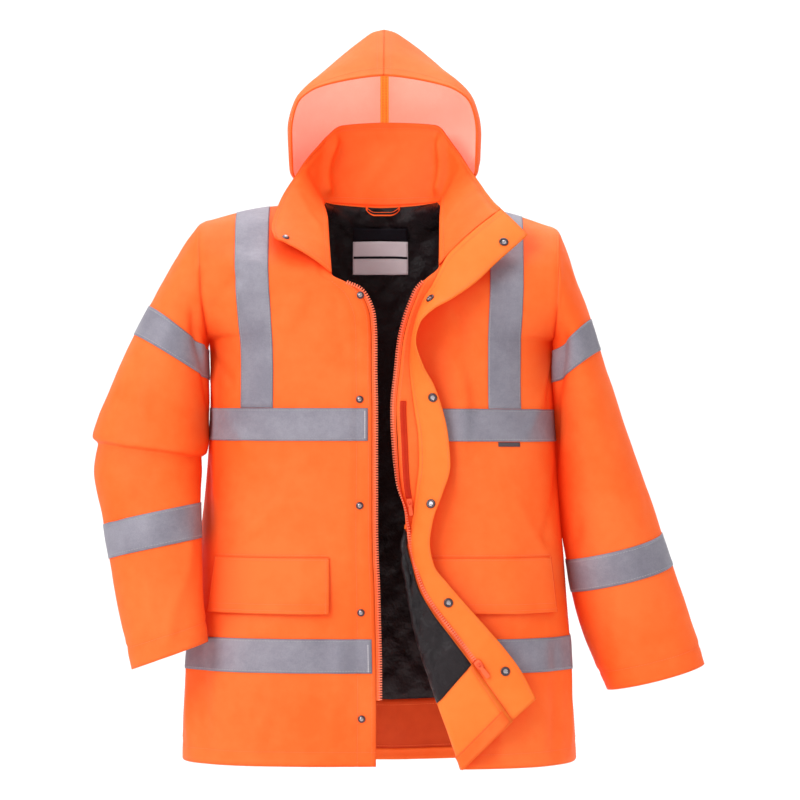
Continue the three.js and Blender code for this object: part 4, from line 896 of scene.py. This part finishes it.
def patch(name, node, rows, columns, low, high, finish, slot, cells, closed=False):
    """A layer sewn on a panel: the panel's own surface between rows and columns, moved out."""
    grid = panel(name, steps(*rows, cells[0]), steps(*columns, cells[1]), closed)
    return cloth(f"{node}_cloth", grid, low, high, finish, slot, [node], closed)


def middle(values):
    return (values[:-1] + values[1:]) / 2


def turned_cells(v, u, top):
    """Cells of the left front: all columns up to a row, only those on the front itself above it."""
    return (middle(v)[:, None] < top) | (middle(u)[None] > 0)


# body, sleeves, collar, hood and storm flap
TWO_FACES = (orange, inner_orange)
side_columns = 11 * (1 - (1 - steps(0, 1, 88)) ** 1.25)
body_rows = steps(0, TOP_ROW, 146)
main_panel("front_right", body_rows, side_columns, TWO_FACES, "front_right")
left_columns = np.concatenate([steps(-2, -1, 16)[:-1], steps(-1, 0, 15)[:-1], side_columns])
left_keep = turned_cells(body_rows, left_columns, 7.85)
main_panel("front_left", body_rows, left_columns, TWO_FACES, "front_left", keep=left_keep)
main_panel("back", body_rows, steps(0, 24, 150), TWO_FACES, "back_panel")
main_panel("sleeve_right", steps(0, 13, 165), steps(0, 14, 109), TWO_FACES, "sleeve_right", closed=True)
main_panel("sleeve_left", steps(0, 11, 160), steps(0, 14, 109), TWO_FACES, "sleeve_left", closed=True)
main_panel("collar", steps(0, 1, 36), steps(0, 12, 150), (orange, orange), "collar", low=-COLLAR_HALF,
           high=COLLAR_HALF)
# Even columns would crowd together at the hood's middle seam, so they are spread out there.
hood_side = steps(0, 1, 61)
hood_side = 1 - 0.5 * hood_side - np.arccos(1 - hood_side) / np.pi
main_panel("hood", steps(0, 1, 90), np.concatenate([hood_side[::-1], 2 - hood_side[1:]]),
           (orange, hood_inside), "hood")
main_panel("storm_flap", steps(0, 21, 200), steps(0, 1, 20), (inner_orange, orange), "storm_flap",
           slot="inner_cloth")


# quilted lining and hem facings
# width of a diamond, how far in the lining's face lies at a stitch line, and how much further between them
QUILT, QUILT_FACE, QUILT_DEPTH = 46.0, 2.2, 5.4


def quilted(p):
    """Diamonds of padding between slanted stitch lines: the product of two rectified sines of the
    slanted lengths."""
    across, along = np.moveaxis(lengths(p), -1, 0)
    first = np.abs(np.sin(np.pi * (across + along * 0.8) / QUILT))
    second = np.abs(np.sin(np.pi * (across - along * 0.8) / QUILT))
    return (first * second) ** 0.5


def lining(node, name, v, u, keep=None):
    p, n = panel(name, v, u)
    edge = np.minimum(np.arange(len(v)), np.arange(len(v))[::-1])[:, None] / 2
    puff = quilted(p) * np.clip(edge, 0, 1) * (1 - 0.8 * hump((u + 0.5) / 0.5))[None]
    puff = puff + 0.16 * noise(p, 9, 21) + 0.1 * noise(p, 5, 22)
    cloth(f"{node}_cloth", (p, n), -QUILT_FACE - QUILT_DEPTH * puff, -HALF - LAYER, black_lining,
          "quilted_lining", [node], keep=keep)


lining_rows = steps(2.01, 19.97, 122)
lining("lining_right", "front_right", lining_rows, steps(1, 10.9, 62))
lining_columns = np.concatenate([steps(-1.97, 0, 34)[:-1], steps(0, 1, 8)[:-1], steps(1, 10.9, 60)])
lining_keep = (middle(lining_rows)[:, None] < 7.6) | (middle(lining_columns)[None] > 1)
lining("lining_left", "front_left", lining_rows, lining_columns, lining_keep)
lining("lining_back", "back", lining_rows, steps(0.1, 23.9, 150))

FACING_LOW = -HALF - LAYER - FACING
# the right and back hem facings take the darker copy of the orange cloth as painted shade
for node, name, columns, finish in (("hem_facing_right", "front_right", (0.02, 10.9), painted_shade_orange),
                                    ("hem_facing_left", "front_left", (-1.98, 10.9), inner_orange),
                                    ("hem_facing_back", "back", (0.1, 23.9), painted_shade_orange)):
    patch(name, node, (0.02, FACING_ROW), columns, FACING_LOW, -HALF - LAYER, finish, "inner_cloth",
          (14, 90))

# the hem's turned up edge, inside
for name, columns in (("front_right", (0.05, 10.9)), ("front_left", (-1.96, 10.9)), ("back", (0.1, 23.9))):
    grid = panel(name, steps(0.02, 0.36, 6), steps(*columns, 90))
    finish_piece(shell(f"hem_turn_{name}", *grid, FACING_LOW - 0.9, FACING_LOW - 0.1), orange,
                 "inner_cloth")

# reflective tape
for node, name, rows, columns, cells in (
        ("chest_tape_right", "front_right", (10, 11), (0.17, 10.9), (12, 84)),
        ("chest_tape_left", "front_left", (10, 11), (1.2, 10.9), (12, 80)),
        ("chest_tape_back", "back", (10, 11), (0.1, 23.9), (12, 130)),
        ("hem_tape_right", "front_right", (3, 4), (0.13, 10.9), (10, 84)),
        ("hem_tape_left", "front_left", (3, 4), (0.2, 10.9), (10, 84)),
        ("hem_tape_back", "back", (3, 4), (0.1, 23.9), (10, 130)),
        ("brace_right", "front_right", (11.01, 19.95), (4, 6), (70, 16)),
        ("brace_left", "front_left", (11.01, 19.95), (4, 6), (70, 16)),
        ("brace_back_right", "back", (11.01, 19.95), (5, 7), (70, 16)),
        ("brace_back_left", "back", (11.01, 19.95), (17, 19), (70, 16))):
    patch(name, node, rows, columns, TAPE_LOW, TAPE_HIGH, tape, "reflective_tape", cells)
for side, rings in SLEEVE_TAPES.items():
    for height, rows in zip(("upper", "lower"), rings):
        patch(f"sleeve_{side}", f"sleeve_tape_{side}_{height}", rows, (0, 14), TAPE_LOW, TAPE_HIGH, tape,
              "reflective_tape", (12, 109), closed=True)

# pocket flaps: sewn along the top, standing off towards the free lower edge
FLAP_WALL, FLAP_LIFT = 1.6, 5.0
for side, columns in (("right", (1.6, 7.4)), ("left", (1.0, 8.0))):
    v, u = steps(5, 7, 34), steps(*columns, 60)
    grid = panel(f"front_{side}", v, u)
    rise = HALF + LAYER + FLAP_LIFT * ((7 - v) / 2)[:, None] * np.ones((1, len(u)))
    rise = rise + 0.8 * np.sin(np.pi * steps(0, 1, 60) * 3)[None] * ((7 - v) / 2)[:, None] ** 2
    rise = np.maximum(rise, HALF + LAYER)
    cloth(f"pocket_flap_{side}_cloth", grid, rise, rise + FLAP_WALL, TWO_FACES, "shell_cloth",
          [f"pocket_flap_{side}"],
          lined=True)
    top = grid[0] + grid[1] * (rise + FLAP_WALL)[..., None]
    drawn[f"pocket_flap_{side}"] = (top, grid[1], v, u)

# binding over the neck seam, from the panels' edge to the collar's root
neck = curve(NECK, steps(0, 12, 130))
neck_way = unit(neck[:, 6:])
neck_grid = neck[None, :, :3] + neck_way[None] * steps(-1.5, 4.2, 6)[:, None, None]
finish_piece(shell("neck_binding", neck_grid, normals_of(neck_grid), -0.7, 0.7), orange, "shell_cloth")

# labels, tab and loop
LABEL_OUT, LABEL_WALL = 8.0, 0.6
for node, rows, finish, slot in (("neck_label", (18.13, 18.84), black_label, "quilted_lining"),
                                 ("care_label", (17.03, 18.03), grey_label, "label")):
    patch("back", node, rows, (11, 13), -LABEL_OUT - LABEL_WALL, -LABEL_OUT, finish, slot, (12, 20))
divider = panel("back", steps(17.50, 17.56, 3), steps(11.02, 12.98, 20))
finish_piece(shell("care_label_divider", *divider, -LABEL_OUT - LABEL_WALL - 0.2, -LABEL_OUT - LABEL_WALL),
             black_label,
             "label")
patch("front_left", "chest_tab", (9.86, 9.98), (4.5, 5.8), HALF + 0.3, HALF + 0.9, dark_tab,
      "quilted_lining", (4, 14))
loop_line = curve(LOOP, steps(0, 5, 50))
loop_height = np.array([0, 0, 1.0])
loop_grid = loop_line[None] + loop_height * steps(3, -3, 9)[:, None, None]
loop_out = normals_of(loop_grid)
cloth("hanging_loop_cloth", (loop_grid, loop_out), -0.6, 0.6, orange, "inner_cloth", ["hanging_loop"])
inset = shell("hanging_loop_band", loop_grid[1:6, 8:42], loop_out[1:6, 8:42], -0.85, 0.85)
finish_piece(inset, black_label, "inner_cloth")

# tape over the hood's seams and the turned rim inside it
UNDER_HOOD = (-HALF - 0.7, -HALF - 0.1)
for name, rows, columns, cells in (("hood_seam_right", (0.93, 1), (0, 0.99), (6, 50)),
                                   ("hood_seam_left", (0.93, 1), (1.01, 2), (6, 50)),
                                   ("hood_rim_right", (0, 1), (0, 0.055), (80, 5)),
                                   ("hood_rim_left", (0, 1), (1.945, 2), (80, 5))):
    grid = panel("hood", steps(*rows, cells[0]), steps(*columns, cells[1]))
    finish = orange if "rim" in name else seam_tape
    finish_piece(shell(name, *grid, *UNDER_HOOD), finish, "shell_cloth")


def strip_of(grid, reach):
    """The part of a grid that lies within a reach of the hood's middle plane, as nine columns of even
    width."""
    places = HOOD_MIDDLE + steps(-reach, reach, 9)
    return [np.array([[np.interp(places, row[:, 0], values[:, k]) for k in range(3)]
                      for row, values in zip(grid[0], part)]).swapaxes(1, 2) for part in grid]


hood_back = panel("hood", steps(0, 0.99, 70), steps(0.7, 1.3, 61))
hood_tape = strip_of(hood_back, 7.0)
finish_piece(shell("hood_seam_back", *hood_tape, *UNDER_HOOD), seam_tape, "shell_cloth")


# lines on the cloth
def line_on(name, out, v=None, u=None, span=(-9, 99)):
    """A row or a column of a panel's drawn grid between two places, moved out along the normals."""
    p, n, rows, cols = drawn[name]
    if u is not None:
        p, n, rows, cols, v = p.swapaxes(0, 1), n.swapaxes(0, 1), cols, rows, u
    at = np.interp(v, rows, np.arange(len(rows)))
    i = min(int(at), len(rows) - 2)
    keep = (cols >= span[0]) & (cols <= span[1])
    normal = unit(mix(n[i], n[i + 1], at - i))[keep]
    return mix(p[i], p[i + 1], at - i)[keep] + normal * out, normal


def spaced(line, normal, pitch):
    """Points every pitch along a line, with its direction, its normal and the way across it."""
    run = np.concatenate([[0], np.cumsum(np.linalg.norm(np.diff(line, axis=0), axis=1))])
    at = np.arange(pitch / 2, run[-1], pitch)
    place = np.stack([np.interp(at, run, line[:, k]) for k in range(3)], axis=1)
    ahead = np.stack([np.interp(at + 0.3, run, line[:, k]) for k in range(3)], axis=1)
    out = unit(np.stack([np.interp(at, run, normal[:, k]) for k in range(3)], axis=1))
    way = unit(ahead - place + 1e-9)
    side = unit(np.cross(way, out))
    return place, way, np.cross(side, way), side


def beads_along(name, lines, pitch, length, width, height, taper, finish, slot):
    """Stitches or teeth: four square rings along each line's direction, the end ones drawn in by the
    taper."""
    along = np.array([-0.5, -0.32, 0.32, 0.5]) * length
    scale = np.array([taper, 1, 1, taper])
    corner = np.array([[-1, -1], [1, -1], [1, 1], [-1, 1]]) * 0.5
    verts = []
    for line, normal in lines:
        place, way, out, side = spaced(line, normal, pitch)
        ring = corner[None] * scale[:, None, None] * np.array([width, height])
        verts.append(place[:, None, None] + way[:, None, None] * along[None, :, None, None]
                     + side[:, None, None] * ring[None, ..., :1] + out[:, None, None] * ring[None, ..., 1:])
    verts = np.concatenate(verts)
    around = np.arange(4)
    sides = [np.stack([around + 4 * k, (around + 1) % 4 + 4 * k, (around + 1) % 4 + 4 * k + 4,
                       around + 4 * k + 4], axis=1)
             for k in range(3)]
    one = np.concatenate(sides + [np.array([[3, 2, 1, 0], [12, 13, 14, 15]])])
    faces = (one[None] + (np.arange(len(verts)) * 16)[:, None, None]).reshape(-1, 4)
    return finish_piece(make_object(name, verts.reshape(-1, 3), faces, smooth_faces=False), finish, slot)


# pitch length width height and taper of a stitch
STITCH = (4.4, 3.1, 0.75, 0.5, 0.4)


def stitched(name, lines, finish=None):
    beads_along(name, lines, *STITCH, finish or thread, "shell_cloth")


ON_CLOTH, ON_TAPE, ON_COLLAR = HALF + 0.1, TAPE_HIGH + 0.1, COLLAR_HALF + 0.1
UNDER_FACING = -ON_CLOTH - 1.2
stitched("stitches_right_front", [
    line_on("front_right", ON_CLOTH, v=0.36), line_on("front_right", ON_CLOTH, u=0.14, span=(0, 16.4)),
    line_on("front_right", ON_CLOTH, u=0.62, span=(0, 10)),
    line_on("front_right", ON_CLOTH, u=0.62, span=(11, 16.2)),
    line_on("front_right", ON_CLOTH, v=7.08, span=(1.6, 7.4)),
    line_on("front_right", ON_CLOTH, u=10.8, span=(0, 12.5))])
stitched("stitches_left_front", [
    line_on("front_left", ON_CLOTH, v=0.36, span=(0, 11)),
    line_on("front_left", ON_CLOTH, u=0.14, span=(8.2, 16.4)),
    line_on("front_left", UNDER_FACING, v=0.36, span=(-2, 0)),
    line_on("front_left", UNDER_FACING, u=-1.93, span=(0, 2)),
    line_on("front_left", ON_CLOTH, v=7.08, span=(1, 8)),
    line_on("front_left", ON_CLOTH, u=10.8, span=(0, 12.5))])
stitched("stitches_back", [line_on("back", ON_CLOTH, v=0.36), line_on("back", UNDER_FACING, v=0.42),
                           line_on("back", UNDER_FACING, v=1.8),
                           line_on("back", ON_CLOTH, u=0.25, span=(0, 12.5)),
                           line_on("back", ON_CLOTH, u=23.75, span=(0, 12.5))])
stitched("stitches_sleeves", [line_on("sleeve_right", ON_CLOTH, v=12.62),
                              line_on("sleeve_left", ON_CLOTH, v=10.66),
                              line_on("sleeve_right", ON_CLOTH, v=0.12),
                              line_on("sleeve_left", ON_CLOTH, v=0.12)])
stitched("stitches_collar", [line_on("collar", ON_COLLAR, v=0.93), line_on("collar", ON_COLLAR, v=0.08),
                             line_on("collar", -ON_COLLAR, v=0.93), line_on("collar", ON_COLLAR, u=0.2),
                             line_on("collar", ON_COLLAR, u=11.85)])
stitched("stitches_storm_flap",
         [line_on("storm_flap", ON_CLOTH, u=0.93), line_on("storm_flap", ON_CLOTH, u=0.12)])
stitched("stitches_hood", [line_on("hood", ON_CLOTH, u=0.055), line_on("hood", ON_CLOTH, u=1.945),
                           line_on("hood", ON_CLOTH, v=0.97, span=(0, 0.97)),
                           line_on("hood", ON_CLOTH, v=0.97, span=(1.03, 2)),
                           line_on("hood", ON_CLOTH, u=0.96), line_on("hood", ON_CLOTH, u=1.04)])
stitched("stitches_hood_seam", [(hood_tape[0][:, i] - hood_tape[1][:, i] * (HALF + 0.8),
                                 -hood_tape[1][:, i])
                                for i in (2, 6)])
for side in ("right", "left"):
    name = f"pocket_flap_{side}"
    low, high = drawn[name][3][[0, -1]]
    edge = 0.12
    stitched(f"stitches_{name}", [line_on(name, 0.1, v=5.12), line_on(name, 0.1, v=5.34),
                                  line_on(name, 0.1, v=6.93),
                                  line_on(name, 0.1, u=low + edge), line_on(name, 0.1, u=high - edge)])
stitched("stitches_tapes", [
    line_on(name, ON_TAPE, v=v, span=span)
    for name, span in (("front_right", (0.3, 10.8)), ("front_left", (1.2, 10.8)), ("back", (0.1, 23.9)))
    for v in (10.06, 10.94)] + [
    line_on(name, ON_TAPE, v=v, span=span)
    for name, span in (("front_right", (0.1, 10.8)), ("front_left", (0.2, 10.8)), ("back", (0.1, 23.9)))
    for v in (3.07, 3.93)] + [
    line_on(name, ON_TAPE, u=u, span=(11.05, 19.9))
    for name, columns in (("front_right", (4.08, 5.92)), ("front_left", (4.08, 5.92)),
                          ("back", (5.08, 6.92, 17.08, 18.92)))
    for u in columns] + [
    line_on(f"sleeve_{side}", ON_TAPE, v=v)
    for side, rings in SLEEVE_TAPES.items() for low, high in rings for v in (low + 0.07, high - 0.07)],
    grey_thread)
beads_along("stitches_tape_ends", [
    line_on("front_right", ON_TAPE, u=0.29, span=(10.02, 10.98)),
    line_on("front_right", ON_TAPE, u=0.26, span=(3.02, 3.98))],
    3.4, 3.0, 1.3, 0.6, 0.5, pale_thread, "reflective_tape")


# zips
ZIP_WIDTH = 7.5
# The left edge turns over from facing the middle, through facing the viewer, to the turned strip's side:
# row, x y way out.
TURN_OVER = {8: [0.3, -0.95, 0], 9: [-0.55, -0.84, 0], 10: [-0.9, -0.44, 0]}


def zip_strip(name):
    """A strip that stands out of a front's edge: the edge, moved along the way out by its start to its
    width."""
    rows = np.arange(2, NECK_ROW)
    v = steps(2, 16, 240)
    ways, starts = [], []
    for row in rows:
        turned = name == "front_left" and row < ROLL_ROW
        ends = surface(name, np.array([float(row)]), np.array([-2.0, -1.0] if turned else [0.0, 1.0]))[0]
        over = TURN_OVER.get(row) if name == "front_left" else None
        ways.append(unit(ends[0] - ends[1]) if over is None else unit(np.array(over)))
        starts.append(0.4 if over is None else 1.3)
    p, n = draped(name, v, np.array([-2.0, 0.0] if name == "front_left" else [0.0, 0.0]))
    edge = np.where((v < ROLL_ROW)[:, None], p[:, 0], p[:, 1])
    way = unit(curve(np.array(ways), v, rows))
    start = curve(np.array(starts)[:, None], v, rows)
    reach = (ZIP_WIDTH - 1.7) * smooth((16.2 - v) / 0.8)
    grid = edge[:, None] + way[:, None] * (start[:, None] + reach[:, None, None]
                                           * steps(0, 1, 6)[None, :, None])
    out = normals_of(grid)
    if out[120, :, 1].mean() > 0:
        out = -out
    return grid, out


for side in ("right", "left"):
    grid, out = zip_strip(f"front_{side}")
    cloth(f"zip_{side}_tape", (grid, out), -0.45, 0.45, zip_cloth, "zip", [f"zip_{side}"])
    line = grid[:, 4] + (grid[:, 5] - grid[:, 4]) * 1.1
    beads_along(f"zip_{side}_teeth", [(line, out[:, 4])], 3.8, 1.9, 5.6, 2.6, 0.9, teeth, "zip")
    beads_along(f"zip_{side}_cord", [(grid[:, 3], out[:, 3])], 2.5, 2.6, 1.4, 1.9, 0.9, zip_cloth, "zip")

# the pocket zip's tape and teeth take the painted slot shade
pocket_grid = panel("front_left", steps(8.55, 11.2, 60), steps(0.16, 0.42, 6))
cloth("pocket_zip_tape", pocket_grid, HALF + 0.3, HALF + 1.1, painted_shade_zip_cloth, "zip", ["pocket_zip"])
pocket_line = pocket_grid[0][:, 2:4].mean(axis=1) + pocket_grid[1][:, 2] * (HALF + 1.4)
beads_along("pocket_zip_teeth", [(pocket_line, pocket_grid[1][:, 2])], 2.4, 1.2, 2.6, 1.4, 0.8,
            painted_shade_zip_cloth, "zip")


# press studs and sockets
def seated(name, spot, out):
    """The drawn outer face of a panel where it lies nearest to a place seen from the front, and its
    normal there."""
    p, n = drawn[name][:2]
    face = p + n * out
    away = np.hypot(face[..., 0] - spot[0], face[..., 2] - spot[2]) + 0.2 * np.abs(face[..., 1] - spot[1])
    i, j = np.unravel_index(np.argmin(away), away.shape)
    normal = n[i, j]
    to = np.array([spot[0], face[i, j, 1], spot[2]])
    to[1] -= ((to - face[i, j]) @ normal) / normal[1]
    return to, normal


def turned_shape(name, node, profile, point, normal, lift, split):
    """A profile of radius and height turned about the normal; rings up to split are one finish, the rest
    the other."""
    normal = unit(np.asarray(normal, float))
    first = unit(np.cross(normal, [0, 0, 1.0]))
    second = np.cross(normal, first)
    angle = np.arange(32) * np.pi / 16
    profile = np.asarray(profile, float)
    circle = first * np.cos(angle)[:, None] + second * np.sin(angle)[:, None]
    p = np.asarray(point) + circle[None] * profile[:, None, :1] + normal * (profile[:, None, 1:] + lift)
    ids = np.arange(p.size // 3).reshape(len(profile), 32)
    after = np.roll(ids, -1, axis=1)
    faces = np.stack([ids[:-1], after[:-1], after[1:], ids[1:]], axis=-1)
    index = np.repeat((np.arange(len(profile) - 1) >= split).astype(np.int32), 32)
    obj = make_object(name, p.reshape(-1, 3), faces.reshape(-1, 4))
    obj.data.polygons.foreach_set("material_index", index)
    merge(obj)
    # the centre rings take the paler metal as a painted highlight
    return finish_piece(obj, (gunmetal, painted_highlight_metal), "metal", [node])


STUD = [
    [0, 0], [5.0, 0], [5.4, 0.3], [5.4, 0.8], [4.9, 1.25], [4.0, 1.45],
    [3.3, 1.5], [3.0, 1.9], [2.95, 2.9], [2.6, 3.3], [1.9, 3.5], [0, 3.55]]
SOCKET = [
    [0, 0], [6.4, 0], [6.8, 0.4], [6.7, 1.1], [6.1, 1.7], [5.2, 1.95],
    [4.2, 1.8], [3.5, 1.2], [3.3, 0.7], [2.6, 0.6], [1.6, 1.1], [0, 1.25]]
for i, row in enumerate(STUDS):
    below, out = ("collar", COLLAR_HALF) if i == 0 else ("front_right", HALF)
    turned_shape(f"stud_{i + 1}_metal", f"stud_{i + 1}", STUD, *seated(below, row, out), 0.05, 7)
for i, row in enumerate(SOCKETS):
    turned_shape(f"socket_{i + 1}_metal", f"socket_{i + 1}", SOCKET, *seated("storm_flap", row, HALF), 0.05,
                 8)

# sliders and pull tabs keep their solids
for node in ("zip_slider", "zip_pull_tab", "pocket_zip_slider", "pocket_zip_pull_tab"):
    for material_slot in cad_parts[node].material_slots:
        material_slot.material = slider_finish


# stage, light, camera
def stage_sweep():
    """A floor that runs back and curves up into a wall: a line, a quarter circle and a line, carried
    along X. From behind it is clear, so that the back can be looked at."""
    bend = np.linspace(0, np.pi / 2, 16)
    y = np.concatenate([[-6000], 1800 + 900 * np.sin(bend), [2700]])
    z = np.concatenate([[-1250], -350 - 900 * np.cos(bend), [4500]])
    x = np.array([-7000, 7000])
    p = np.stack([np.broadcast_to(x[None], (len(y), 2)), np.broadcast_to(y[:, None], (len(y), 2)),
                  np.broadcast_to(z[:, None], (len(y), 2))], axis=-1)
    ids = np.arange(len(y) * 2).reshape(-1, 2)
    faces = np.stack([ids[:-1, 0], ids[:-1, 1], ids[1:, 1], ids[1:, 0]], axis=1)
    obj = make_object("floor", p.reshape(-1, 3), faces)
    mat, tree, shader = material("pale floor", roughness=0.9, specular=0.1)
    tone = place_group(tree, TONE, Broad=2.0, Fine=30.0)
    tree.links.new(blend(tree, tone.outputs["Mask"], (0.92, 0.92, 0.92, 1), (0.95, 0.95, 0.95, 1)),
                   shader.inputs["Base Color"])
    behind = add(tree, "ShaderNodeNewGeometry").outputs["Backfacing"]
    clear = add(tree, "ShaderNodeBsdfTransparent").outputs[0]
    either = add(tree, "ShaderNodeMixShader", [(0, behind), (1, shader.outputs[0]), (2, clear)])
    tree.links.new(either.outputs[0], tree.nodes["Material Output"].inputs[0])
    obj.data.materials.append(mat)


stage_sweep()


def lamp(name, place, towards, size, power):
    data = bpy.data.lights.new(name, "AREA")
    data.energy, data.size = power, size
    obj = bpy.data.objects.new(name, data)
    bpy.context.scene.collection.objects.link(obj)
    obj.location = place
    obj.rotation_euler = (Vector(towards) - Vector(place)).to_track_quat("-Z", "Y").to_euler()


lamp("key", (-2.4, -3.0, 1.7), (0, 0, -0.3), 1.8, 92)
lamp("fill", (2.4, -3.2, 0.6), (0, 0, -0.4), 2.4, 9)
lamp("top", (0.0, 0.4, 2.6), (0, 0.1, -0.2), 2.0, 30)
lamp("wall", (0.0, 1.2, 2.8), (0, 2.7, -0.4), 3.0, 60)
world = bpy.data.worlds.new("studio")
bpy.context.scene.world = world
world.use_nodes = True
world.node_tree.nodes["Background"].inputs[0].default_value = (1, 1, 1, 1)
world.node_tree.nodes["Background"].inputs[1].default_value = 0.47
bpy.context.scene.view_settings.view_transform = "Standard"

camera = bpy.data.cameras.new("camera")
camera.lens, camera.sensor_width = 137.2, 36.0
camera_object = bpy.data.objects.new("camera", camera)
camera_object.location = (0.0302, -4.6, -0.294)
camera_object.rotation_euler = (math.pi / 2, 0, 0)
bpy.context.scene.collection.objects.link(camera_object)
bpy.context.scene.camera = camera_object
